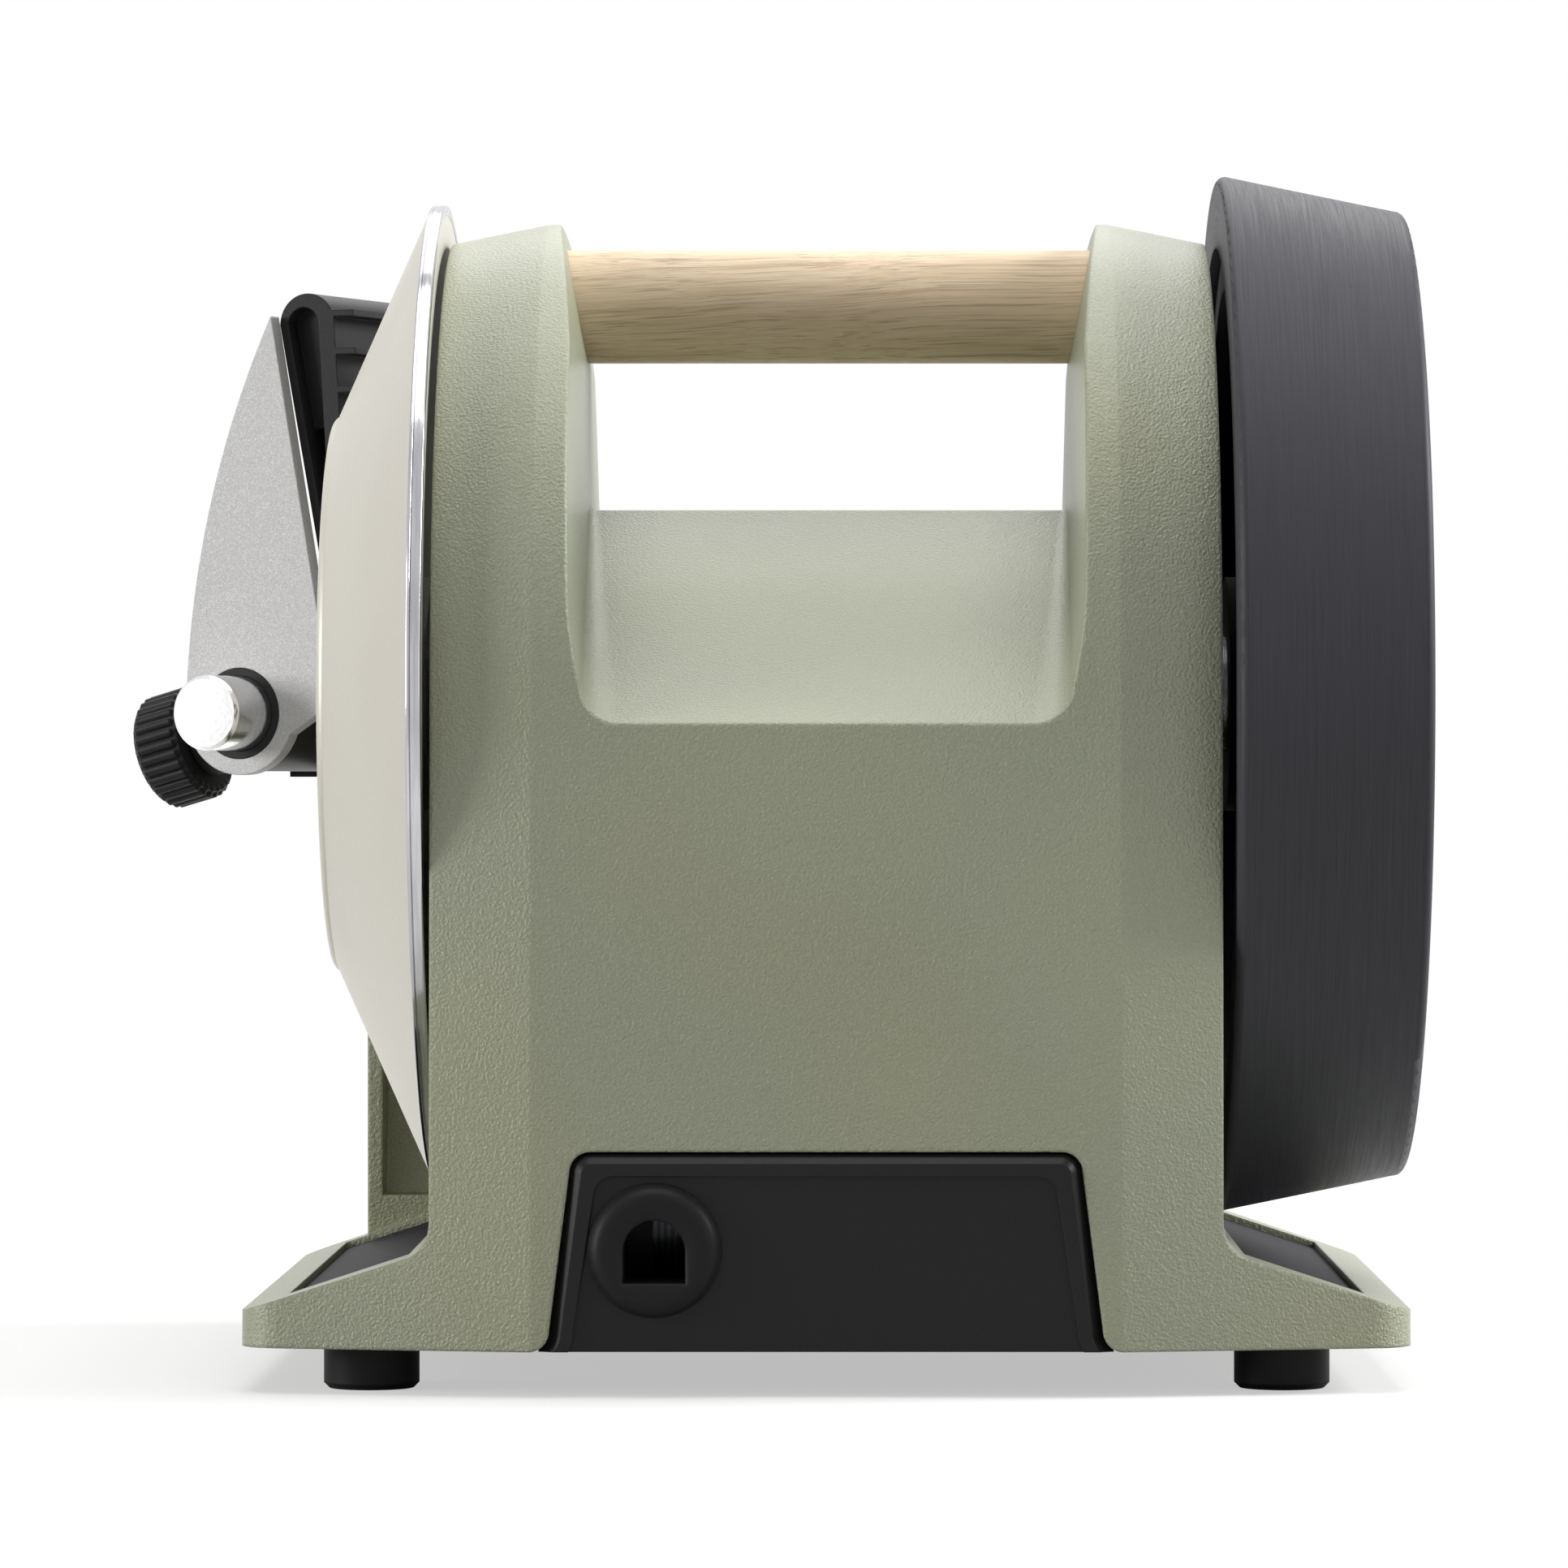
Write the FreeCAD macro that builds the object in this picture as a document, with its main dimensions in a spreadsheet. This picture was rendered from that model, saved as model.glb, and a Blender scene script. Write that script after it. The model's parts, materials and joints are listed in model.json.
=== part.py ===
import FreeCAD, Part

import math
import os
import re

import Sketcher
from FreeCAD import Placement, Rotation, Vector

# A table-top knife sharpener with two 150 mm wheels on one geared shaft.
# +X is the operator's right, where the conical diamond wheel and the knife guide are.
# -X is the honing side. -Y is the operator's side. The origin is the middle of the
# footprint, on the table. All sizes are in millimetres unless a name says otherwise.

SIZES = {
    # Wheel axis and clearances shared by several pieces
    "axis_height": 102.2,
    "running_fit": 0.04,
    "seat_gap": 0.2,
    "screw_play": 0.05,
    # Housing, outside
    "foot_height": 6.6,
    "arch_radius": 72.1,
    "flat_half_width": 42.6,
    "side_half_width": 57.4,
    "half_width": 85.2,
    "half_depth": 75.0,
    "band_slope": 0.2026,
    "ledge_edge": 5.2,
    "ledge_slope": 0.327,
    "leg_fillet": 5.4,
    "plan_corner": 7.0,
    # Housing, saddle between the cheeks
    "saddle_rise": 28.3,
    "saddle_slope": 0.4615,
    "cheek_half_gap": 36.75,
    "cheek_rise": 50.8,
    "cheek_flare": 0.2,
    "cheek_draft": 0.058,
    "cheek_rear_gap": 35.5,
    "cheek_bow": 2.0,
    "bow_rise": 21.0,
    "ridge_corner": 1.2,
    "rim_round": 1.2,
    "panel_corner": 6.0,
    # Housing, inside
    "wall": 3.0,
    "cheek_wall": 43.0,
    "gear_side_wall": 40.3,
    "boss_wall": 3.5,
    "handle_boss_wall": 2.0,
    "post_radius": 4.0,
    # Pillar that carries the guide
    "pillar_wall": 2.4,
    "pillar_half_width": 75.2,
    "pillar_rear": 62.0,
    "pillar_front": 72.0,
    "pillar_top_front": 90.0,
    "pillar_clear": 3.5,
    "pillar_knee": 14.0,
    "pillar_cap": 4.0,
    "pillar_floor": 21.5,
    # Feet
    "foot_radius": 7.0,
    "foot_x": 66.7,
    "foot_y": 55.0,
    "foot_round": 0.8,
    "foot_head_depth": 3.6,
    "m4_radius": 2.0,
    "m4_head_radius": 3.6,
    "m4_head_height": 2.4,
    "foot_screw_length": 10.0,
    # Trays under the wheels
    "tray_inner": 61.0,
    "tray_outer": 78.4,
    "tray_half_length": 59.0,
    "tray_depth": 2.8,
    "tray_thickness": 1.8,
    # Handle
    "handle_radius": 8.7,
    "handle_rise": 59.6,
    "handle_half_length": 44.0,
    "handle_screw_radius": 2.5,
    "handle_screw_head": 4.5,
    "handle_screw_head_height": 3.0,
    "handle_screw_bite": 22.0,
    # End panels and their openings
    "panel_height": 28.8,
    "panel_top_half": 37.0,
    "panel_low_half": 39.9,
    "panel_foot_round": 3.0,
    "panel_round": 3.0,
    "panel_thickness": 4.2,
    "panel_lip": 2.5,
    "panel_lip_thickness": 1.5,
    "panel_gap": 0.3,
    "panel_bevel": 1.4,
    "panel_frame": 3.2,
    "panel_sink": 0.8,
    # Cord bushing
    "bushing_x": 24.7,
    "bushing_height": 21.2,
    "bushing_radius": 9.7,
    "bushing_proud": 3.2,
    "bushing_dome": 2.6,
    "bushing_pilot": 1.8,
    "bushing_neck": 7.2,
    "bushing_tail": 4.0,
    "bushing_barb": 1.2,
    "cord_width": 8.9,
    "cord_height": 9.0,
    # Rocker switch in the front panel
    "switch_height": 21.0,
    "bezel_width": 15.0,
    "bezel_tall": 21.0,
    "bezel_thickness": 1.6,
    "bezel_rim": 1.9,
    "switch_width": 12.8,
    "switch_tall": 18.8,
    "switch_depth": 14.0,
    "switch_floor": 1.4,
    "pin_cover": 0.5,
    "rocker_gap": 0.3,
    "rocker_tilt": 8.0,
    "rocker_rise": 0.95,
    "rocker_pivot_depth": 4.5,
    "rocker_pin_radius": 1.0,
    "rocker_back": 2.5,
    # Base cover
    "cover_thickness": 3.0,
    "post_inset": 6.4,
    "post_y": 61.0,
    "post_height": 18.0,
    "cover_screw_radius": 1.5,
    "cover_screw_length": 10.0,
    "cover_screw_head": 2.8,
    "cover_screw_sink": 1.7,
    # Wheel shaft and bearings
    "shaft_radius": 6.0,
    "shoulder_radius": 7.5,
    "bearing_radius": 14.0,
    "bearing_width": 8.0,
    "bearing_lip": 1.4,
    "bearing_lip_gap": 1.0,
    "bearing_groove": 0.6,
    "collar_radius": 9.0,
    "bolt_radius": 4.0,
    "bolt_depth": 16.0,
    "bolt_head_radius": 6.5,
    "bolt_head_height": 5.0,
    "washer_radius": 12.0,
    "washer_thickness": 1.8,
    # Diamond wheel
    "wheel_gap": 1.0,
    "diamond_face": 75.9,
    "diamond_face_radius": 41.6,
    "diamond_radius": 75.0,
    "rim_band": 2.2,
    "rim_round": 0.5,
    "cone_wall": 5.0,
    "web_thickness": 5.5,
    "hub_radius": 18.0,
    "hub_recess_radius": 13.5,
    "hub_recess": 7.9,
    "hub_gap": 3.6,
    # Honing wheel
    "honing_gap": 2.0,
    "honing_inner_radius": 79.4,
    "honing_outer_radius": 74.1,
    "honing_width": 28.5,
    "honing_bore": 68.5,
    "honing_round": 1.3,
    "core_rim": 6.0,
    "core_inset": 1.5,
    "core_web": 7.0,
    "core_web_inset": 3.5,
    # Gears
    "slow_module": 1.5,
    "slow_pinion_teeth": 11,
    "slow_gear_teeth": 54,
    "fast_module": 1.0,
    "fast_pinion_teeth": 12,
    "fast_gear_teeth": 56,
    "slow_face": 5.0,
    "fast_face": 5.0,
    "pinion_extra": 1.0,
    "main_gear_start": 41.0,
    "gear_hub_radius": 14.0,
    "gear_dish": 1.2,
    "gear_rim_modules": 3.0,
    "gear_neck_modules": 1.5,
    "tooth_pressure_degrees": 20.0,
    "tooth_addendum": 0.9,
    "tooth_dedendum": 1.1,
    "tooth_share": 0.42,
    "idler_axle_radius": 3.0,
    "axle_clip_reach": 2.8,
    "idler_step_gap": 1.2,
    "gear_plate_x": 27.5,
    "gear_plate_thickness": 2.5,
    "gear_plate_front": 58.0,
    "gear_plate_rear": 52.0,
    "gear_plate_low": 15.0,
    "gear_plate_drop": 17.2,
    "gear_post_inset": 6.0,
    "axle_seat_depth": 4.0,
    # Motor
    "motor_y": 8.05,
    "motor_lift": 4.45,
    "motor_reach": 58.15,
    "stack_width": 60.0,
    "stack_length": 40.0,
    "stack_start": -14.0,
    "stack_corner": 8.0,
    "rotor_radius": 17.0,
    "air_gap": 0.4,
    "bell_bore": 26.0,
    "bell_depth": 11.0,
    "bell_wall": 2.5,
    "winding_length": 7.0,
    "winding_inner": 19.0,
    "winding_outer": 25.5,
    "motor_shaft_radius": 3.0,
    "motor_bush_radius": 7.0,
    "bush_length": 4.0,
    "motor_bolt_radius": 2.0,
    "motor_bolt_inset": 5.0,
    "fan_radius": 24.0,
    "fan_width": 6.0,
    "fan_gap": 2.5,
    "fan_hub": 6.0,
    "fan_blade": 1.4,
    "fan_blades": 8,
    # Electrical pieces on the base cover
    "capacitor_radius": 10.0,
    "capacitor_length": 42.0,
    "capacitor_x": 3.0,
    "capacitor_y": -48.0,
    "clip_thickness": 1.2,
    "clip_width": 14.0,
    "clip_foot": 5.5,
    "block_x": -22.8,
    "block_y": 46.0,
    "block_length": 24.0,
    "block_depth": 11.0,
    "block_height": 13.0,
    "block_hole": 1.8,
    "block_poles": 3,
    # Guide bar and its frame
    "bar_x": 99.6,
    "bar_y": -38.0,
    "bar_height": 99.6,
    "bar_turn_degrees": 25.4,
    "bar_radius": 6.0,
    "bar_length": 52.0,
    "bar_chamfer": 0.8,
    # Arm under the bar
    "arm_start": 39.5,
    "arm_boss_radius": 10.0,
    "arm_cap": 2.0,
    "arm_bottom": 10.2,
    "arm_top": 1.0,
    "arm_outside": 7.0,
    "arm_inside": 8.0,
    "arm_bend_inboard": 17.6,
    "arm_bend_station": 49.5,
    "arm_tail_station": 54.2,
    "gusset_thickness": 3.5,
    "gusset_reach": 9.0,
    "gusset_drop": 22.0,
    "gusset_y": 84.0,
    "set_screw_radius": 2.5,
    "arm_screw_length": 11.0,
    "arm_screw_station": 56.5,
    "arm_screw_near": 7.0,
    "arm_screw_far": 15.5,
    # Knife guide
    "plate_start": 11.0,
    "plate_thickness": 2.6,
    "plate_toe_v": 3.4,
    "plate_curve_u": 139.0,
    "plate_curve_v": -3.0,
    "plate_corner_u": 17.0,
    "plate_corner_v": 1.5,
    "leg_top_u": 5.8,
    "leg_top_v": 63.6,
    "leg_lean": 0.195,
    "jaw_lean": 0.0647,
    "leg_wall": 1.5,
    "jaw_wall": 2.9,
    "jaw_width": 10.1,
    "crown_v": 62.3,
    "slot_top": 45.8,
    "leg_end": 6.0,
    "jaw_end": 32.0,
    "guide_end": 49.0,
    "guide_recess": 3.0,
    "guide_hub_radius": 9.3,
    "guide_hub_end": 38.8,
    "guide_spigot": 7.3,
    "guide_web": 5.0,
    "web_top": 22.0,
    "recess_overlap": 0.1,
    "plate_screw_u": 9.0,
    "plate_screw_v": 16.0,
    "plate_screw_bite": 2.0,
    "rib_reach": 3.6,
    "rib_thickness": 1.0,
    "rib_spacing": 6.1,
    "rib_top_v": 64.0,
    # Clamp knob
    "knob_station": 27.6,
    "knob_tilt_degrees": 14.8,
    "knob_radius": 9.4,
    "knob_length": 8.4,
    "knob_cap": 2.0,
    "knob_gap": 0.3,
    "knob_start": 16.7,
    "knob_flutes": 28,
    "flute_radius": 0.5,
    "knob_round": 0.8,
    "knob_boss_radius": 6.0,
    "clamp_screw_radius": 3.0,
}

doc = FreeCAD.newDocument("knife_sharpener")
sheet = doc.addObject("Spreadsheet::Sheet", "sizes")
for row, (alias, value) in enumerate(SIZES.items(), start=1):
    sheet.set(f"A{row}", alias)
    sheet.set(f"B{row}", str(value))
    sheet.setAlias(f"B{row}", alias)
doc.recompute()

nodes = []

# Points closer together than this many millimetres are one point.
SAME = 0.01
# An edge's place is judged at this many points along it.
RIM_SAMPLES = 5


# Expressions on the sheet

def bound(text):
    """The expression with every size name led by the sheet's name."""
    def led(word):
        """A size name led by the sheet's name, any other word as it is."""
        return f"sizes.{word[0]}" if word[0] in SIZES else word[0]

    return re.sub(r"[a-z_][a-z_0-9]*", led, str(text))


def number(text):
    """The value of an expression, in millimetres."""
    return float(sheet.evalExpression(str(text)))


def bind(item, prop, text):
    """Ties a property to an expression on the sheet."""
    item.setExpression(prop, bound(text))


# Sketches, bodies and features

def new_body(label, place=None):
    """A sub-part that is built from features."""
    body = doc.addObject("PartDesign::Body", label)
    body.Label = label
    if place is not None:
        body.Placement = place
    return body


def keep(item, label=None, place=None):
    """Lists an object as one of the sub-parts to be written."""
    if label is not None:
        item.Label = label
    if place is not None:
        item.Placement = place
    nodes.append(item)
    return item


def add_sketch(body, plane, lift="0"):
    """A sketch on one of the body's own planes, lifted along the plane's world axis."""
    sketch = body.newObject("Sketcher::SketchObject", f"{body.Name}_{plane}")
    origin_plane = next(item for item in body.Origin.OriginFeatures if item.Role == f"{plane}_Plane")
    sketch.AttachmentSupport = [(origin_plane, "")]
    sketch.MapMode = "FlatFace"
    bind(sketch, ".AttachmentOffset.Base.z", f"-({lift})" if plane == "XZ" else lift)
    return sketch


def pin(sketch, kind, edge, point, text):
    """Sets one coordinate of a point, tied to its expression where that names a size."""
    index = sketch.addConstraint(Sketcher.Constraint(kind, edge, point, number(text)))
    if re.search("[a-z]", str(text)):
        bind(sketch, f"Constraints[{index}]", text)


def add_outline(sketch, corners):
    """A closed outline. A corner is (x, y), or (x, y, centre x, centre y, turn) before an arc."""
    points = [(number(corner[0]), number(corner[1])) for corner in corners]
    ends = []
    for index, corner in enumerate(corners):
        start = points[index]
        end = points[(index + 1) % len(points)]
        if len(corner) == 2:
            edge = sketch.addGeometry(Part.LineSegment(Vector(*start, 0), Vector(*end, 0)), False)
            ends.append((edge, 1, 2))
            continue
        middle = (number(corner[2]), number(corner[3]))
        circle = Part.Circle(Vector(*middle, 0), Vector(0, 0, 1), math.dist(start, middle))
        first = math.atan2(start[1] - middle[1], start[0] - middle[0])
        last = math.atan2(end[1] - middle[1], end[0] - middle[0])
        if corner[4] == "ccw":
            last += 2 * math.pi * (last <= first)
            edge = sketch.addGeometry(Part.ArcOfCircle(circle, first, last), False)
            ends.append((edge, 1, 2))
        else:
            first += 2 * math.pi * (first <= last)
            edge = sketch.addGeometry(Part.ArcOfCircle(circle, last, first), False)
            ends.append((edge, 2, 1))
    for index, corner in enumerate(corners):
        edge, begin, _ = ends[index]
        last_edge, _, last_end = ends[index - 1]
        sketch.addConstraint(Sketcher.Constraint("Coincident", last_edge, last_end, edge, begin))
        before = corners[index - 1]
        across = upright = True
        if len(before) > 2:
            # The end of an arc already lies on its circle, so it takes one coordinate only.
            upright = abs(points[index][0] - number(before[2])) > abs(points[index][1] - number(before[3]))
            across = not upright
        if across:
            pin(sketch, "DistanceX", edge, begin, corner[0])
        if upright:
            pin(sketch, "DistanceY", edge, begin, corner[1])
        if len(corner) > 2:
            pin(sketch, "DistanceX", edge, 3, corner[2])
            pin(sketch, "DistanceY", edge, 3, corner[3])


def add_circle(sketch, x, y, radius):
    """A circle bound to expressions for its centre and radius."""
    circle = Part.Circle(Vector(number(x), number(y), 0), Vector(0, 0, 1), number(radius))
    edge = sketch.addGeometry(circle, False)
    pin(sketch, "DistanceX", edge, 3, x)
    pin(sketch, "DistanceY", edge, 3, y)
    index = sketch.addConstraint(Sketcher.Constraint("Radius", edge, number(radius)))
    bind(sketch, f"Constraints[{index}]", radius)


def rectangle(x_low, y_low, x_high, y_high):
    """Corners of an upright rectangle."""
    return [(x_low, y_low), (x_high, y_low), (x_high, y_high), (x_low, y_high)]


def mirrored(corners, side):
    """The outline as it is for side 1, or mirrored across the vertical axis for side -1."""
    if side > 0:
        return corners
    turned_about = {"ccw": "cw", "cw": "ccw"}
    flipped = []
    for corner in corners:
        if len(corner) == 2:
            flipped.append((f"-({corner[0]})", corner[1]))
        else:
            turn = turned_about[corner[4]]
            flipped.append((f"-({corner[0]})", corner[1], f"-({corner[2]})", corner[3], turn))
    return flipped


def extrude(body, kind, sketch, plane, length, toward):
    """A Pad or Pocket along the plane's world axis: toward is 1, -1 or 0 for both ways."""
    feature = body.newObject(f"PartDesign::{kind}", f"{body.Name}_{kind}")
    feature.Profile = sketch
    bind(feature, "Length", length)
    if toward == 0:
        feature.SideType = "Symmetric"
    else:
        along_normal = -1 if plane == "XZ" else 1
        forward = toward * along_normal > 0
        feature.Reversed = forward if kind == "Pocket" else not forward
    before = body.Shape.Volume if kind == "Pocket" else 0
    doc.recompute()
    if kind == "Pocket" and not body.Shape.Volume < before:
        raise RuntimeError(f"{feature.Name} cuts nothing")
    return feature


def pad(body, plane, lift, outlines, length, toward=1):
    """Extrudes one or more outlines from a lifted plane."""
    sketch = add_sketch(body, plane, lift)
    for corners in outlines:
        add_outline(sketch, corners)
    return extrude(body, "Pad", sketch, plane, length, toward)


def pocket(body, plane, lift, outlines, length, toward=1):
    """Cuts one or more outlines from a lifted plane."""
    sketch = add_sketch(body, plane, lift)
    for corners in outlines:
        add_outline(sketch, corners)
    return extrude(body, "Pocket", sketch, plane, length, toward)


def rod(body, plane, lift, circles, length, toward=1):
    """Adds round bosses: circles are (x, y, radius)."""
    sketch = add_sketch(body, plane, lift)
    for circle in circles:
        add_circle(sketch, *circle)
    return extrude(body, "Pad", sketch, plane, length, toward)


def drill(body, plane, lift, circles, length, toward=1):
    """Cuts round holes: circles are (x, y, radius)."""
    sketch = add_sketch(body, plane, lift)
    for circle in circles:
        add_circle(sketch, *circle)
    return extrude(body, "Pocket", sketch, plane, length, toward)


def loft(body, kind, plane, sections):
    """A ruled loft between outlines on lifted planes: sections are (lift, corners)."""
    sketches = []
    for lift, corners in sections:
        sketch = add_sketch(body, plane, lift)
        add_outline(sketch, corners)
        sketches.append(sketch)
    feature = body.newObject(f"PartDesign::{kind}", f"{body.Name}_{kind}")
    feature.Profile = sketches[0]
    feature.Sections = sketches[1:]
    feature.Ruled = True
    doc.recompute()
    return feature


def soften(body, kind, size, wanted):
    """A Fillet or Chamfer on the edges for which wanted(edge) is true."""
    names = [f"Edge{index}" for index, edge in enumerate(body.Shape.Edges, start=1) if wanted(edge)]
    if not names:
        raise RuntimeError(f"{body.Label} has no such edge to soften")
    feature = body.newObject(f"PartDesign::{kind}", f"{body.Name}_{kind}")
    feature.Base = (body.Tip if body.Tip is not feature else feature.BaseFeature, names)
    bind(feature, "Radius" if kind == "Fillet" else "Size", size)
    doc.recompute()
    return feature


def turned(label, corners, place):
    """A turned piece: corners are (radius, station along the axis), the axis is the body's Z."""
    body = new_body(label, place)
    sketch = add_sketch(body, "XZ")
    add_outline(sketch, corners)
    feature = body.newObject("PartDesign::Revolution", f"{label}_turn")
    feature.Profile = sketch
    feature.ReferenceAxis = (sketch, ["V_Axis"])
    feature.Angle = 360
    doc.recompute()
    return body


def repeat_around(body, feature, count):
    """Copies a feature evenly round the body's Z axis."""
    pattern = body.newObject("PartDesign::PolarPattern", f"{body.Name}_ring")
    pattern.Originals = [feature]
    pattern.Axis = (next(item for item in body.Origin.OriginFeatures if item.Role == "Z_Axis"), [""])
    pattern.Angle = 360
    bind(pattern, "Occurrences", count)
    body.Tip = pattern
    doc.recompute()


def cylinder(radius, length, place):
    """A plain round bar whose axis is its own Z."""
    item = doc.addObject("Part::Cylinder", "rod")
    bind(item, "Radius", radius)
    bind(item, "Height", length)
    item.Placement = place
    return item


def fused(items):
    """Several solids made one."""
    item = doc.addObject("Part::MultiFuse", "joined")
    item.Shapes = items
    return item


def cut(item, tools):
    """An object less several others."""
    result = doc.addObject("Part::Cut", "trimmed")
    result.Base = item
    result.Tool = fused(tools)
    return result


def headed_screw(place, radius, length, head_radius, head_height):
    """A screw: its head sits below the place's origin and its shank points along Z."""
    head_place = place * Placement(Vector(0, 0, -number(head_height)), Rotation())
    return fused([
        cylinder(radius, length, place),
        cylinder(head_radius, head_height, head_place),
    ])


def group(label, items):
    """Identical fasteners as one sub-part of separate solids."""
    item = doc.addObject("Part::Compound", label)
    item.Links = items
    return keep(item, label)


# Frames of the main groups

ALONG_X = Rotation(Vector(0, 1, 0), 90)
ALONG_MINUS_X = Rotation(Vector(0, 1, 0), -90)
UPWARD = Rotation()
OUTWARD = {1: ALONG_X, -1: ALONG_MINUS_X}
INWARD = {1: ALONG_MINUS_X, -1: ALONG_X}


def at(x, y, z, rotation=UPWARD):
    """A placement from expressions for its origin."""
    return Placement(Vector(number(x), number(y), number(z)), rotation)


def wheel_frame(side=1):
    """Origin on the wheel axis; local Z runs outward on the given side."""
    return at("0", "0", "axis_height", OUTWARD[side])


def guide_frame(station="0"):
    """Local X points at the wheel, Y up and Z out along the bar; station runs inward from its end."""
    frame = at("bar_x", "bar_y", "bar_height", Rotation(180 - number("bar_turn_degrees"), 0, 90))
    return frame * Placement(Vector(0, 0, -number(station)), Rotation())


SIDES = {"right": 1, "left": -1}

# Distances that several pieces share

slow_distance = "(slow_gear_teeth + slow_pinion_teeth) * slow_module / 2"
fast_distance = "(fast_gear_teeth + fast_pinion_teeth) * fast_module / 2"
gear_plate_high = "axis_height - gear_plate_drop"
above_cover = "foot_height + cover_thickness + motor_lift + stack_width / 2"
motor_z = f"max({above_cover}; axis_height - motor_reach)"
motor_drop = f"(axis_height - ({motor_z}))"
motor_distance = f"sqrt(motor_y^2 + {motor_drop}^2)"

# The idler meshes with both: its middle is the front crossing of two circles, one about each axis.
crossing = f"((({slow_distance})^2 - ({fast_distance})^2 + {motor_distance}^2) / (2 * {motor_distance}))"
crossing_side = f"sqrt(({slow_distance})^2 - {crossing}^2)"
idler_y = f"({crossing} * motor_y - {crossing_side} * {motor_drop}) / {motor_distance}"
idler_z = f"axis_height - ({crossing} * {motor_drop} + {crossing_side} * motor_y) / {motor_distance}"
saddle_height = "axis_height + saddle_rise"
cheek_straight = "axis_height + cheek_rise"
handle_height = "axis_height + handle_rise"
hub_back = "side_half_width + hub_gap"
axle_tip = "main_gear_start + slow_face + 2 * pinion_extra"
bearing_inner = "side_half_width - bearing_lip - bearing_width"
honing_face = "side_half_width + honing_gap + honing_width"
shaft_bore = "shaft_radius + running_fit"
stack_end = "stack_start + stack_length"
plate_inner = "plate_start + plate_thickness"
pillar_top = "bar_height - arm_bottom"
pillar_top_rear = f"-sqrt((diamond_radius + pillar_clear)^2 - (axis_height - ({pillar_top}))^2)"


def gear_posts():
    """Middles (y, z) of the four posts that hold the gear plate."""
    front = "-gear_plate_front + gear_post_inset"
    rear = "gear_plate_rear - gear_post_inset"
    low = "gear_plate_low + gear_post_inset"
    high = f"{gear_plate_high} - gear_post_inset"
    return [(front, low), (rear, low), (rear, high), (front, high)]


def beside_bar(inboard, station):
    """World X and Y of a point beside the guide bar, from its distances inboard and along the bar."""
    return (
        f"bar_x - ({station}) * sin(bar_turn_degrees) - ({inboard}) * cos(bar_turn_degrees)",
        f"bar_y - ({station}) * cos(bar_turn_degrees) + ({inboard}) * sin(bar_turn_degrees)",
    )


def from_bar(x, y):
    """Distances inboard of the guide bar and along it, for a point in world X and Y."""
    return (
        f"(bar_x - ({x})) * cos(bar_turn_degrees) + (({y}) - bar_y) * sin(bar_turn_degrees)",
        f"(bar_x - ({x})) * sin(bar_turn_degrees) - (({y}) - bar_y) * cos(bar_turn_degrees)",
    )


def arm_spots():
    """Middles (x, y) of the two screws that hold the arm on the pillar."""
    return [beside_bar(inboard, "arm_screw_station") for inboard in ("arm_screw_near", "arm_screw_far")]


# Housing

def arch_outline(inset):
    """Side view of the arch: drafted upright faces under a half circle about the wheel axis."""
    return [
        (f"-(half_depth - {inset})", "foot_height"),
        (f"half_depth - {inset}", "foot_height"),
        (f"arch_radius - {inset}", "axis_height", "0", "axis_height", "ccw"),
        (f"-(arch_radius - {inset})", "axis_height"),
    ]


def ledge_line(x):
    """Height of the sloping ledge at a distance from the middle."""
    return f"foot_height + ledge_edge + (half_width - ({x})) * ledge_slope"


def ledge_clearance(side):
    """The space beside a leg, above its ledge, with the hollow fillet between them."""
    stretch = "sqrt(1 + ledge_slope^2)"
    middle_x = "side_half_width + leg_fillet"
    middle_z = f"{ledge_line(middle_x)} + leg_fillet * {stretch}"
    outside = "half_width + wall"
    above = "axis_height + arch_radius + wall"
    corners = [
        (outside, above),
        ("side_half_width", above),
        ("side_half_width", middle_z, middle_x, middle_z, "ccw"),
        (f"{middle_x} - leg_fillet * ledge_slope / {stretch}", f"{middle_z} - leg_fillet / {stretch}"),
        (outside, ledge_line(outside)),
    ]
    return mirrored(corners, side)


def saddle_section(distance, low_half, bow, straight_half, top_half, corner):
    """Cross-section of the gap between the cheeks at a distance from the mid-plane, bowed in below."""
    floor = f"{saddle_height} - saddle_slope * ({distance})"
    top = "axis_height + arch_radius + wall"
    rounded = f"{floor} + {corner}"
    bowed = (f"{low_half} + {bow}", f"{floor} + bow_rise")
    wall_low = (low_half, rounded)
    wall_high = (f"-({bowed[0]})", bowed[1])
    if bow != "0":
        middle = f"{bowed[0]} - ({bow} / 2 + (bow_rise - {corner})^2 / (2 * {bow}))"
        wall_low += (middle, bowed[1], "ccw")
        wall_high += (f"-({middle})", bowed[1], "ccw")
    return [
        (straight_half, cheek_straight),
        (top_half, top),
        (f"-({top_half})", top),
        (f"-({straight_half})", cheek_straight),
        wall_high,
        (f"-({low_half})", rounded, f"-({low_half} - {corner})", rounded, "ccw"),
        (f"-({low_half} - {corner})", floor),
        (f"{low_half} - {corner}", floor, f"{low_half} - {corner}", rounded, "ccw"),
        wall_low,
        bowed,
    ]


def cut_saddle(body):
    """The gap between the cheeks, drafted from the mid-plane toward the front and the rear."""
    reach = "half_depth + wall"
    top = "arch_radius + wall"
    middle = saddle_section(
        "0",
        "cheek_half_gap",
        "0",
        "cheek_half_gap",
        f"cheek_half_gap + cheek_flare * ({top} - cheek_rise)",
        "ridge_corner",
    )
    end = saddle_section(
        reach,
        "cheek_rear_gap",
        "cheek_bow",
        "cheek_rear_gap + cheek_draft * cheek_rise",
        f"cheek_rear_gap + cheek_draft * ({top})",
        "panel_corner",
    )
    loft(body, "SubtractiveLoft", "XZ", [(f"-({reach})", end), ("0", middle), (reach, end)])


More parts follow.
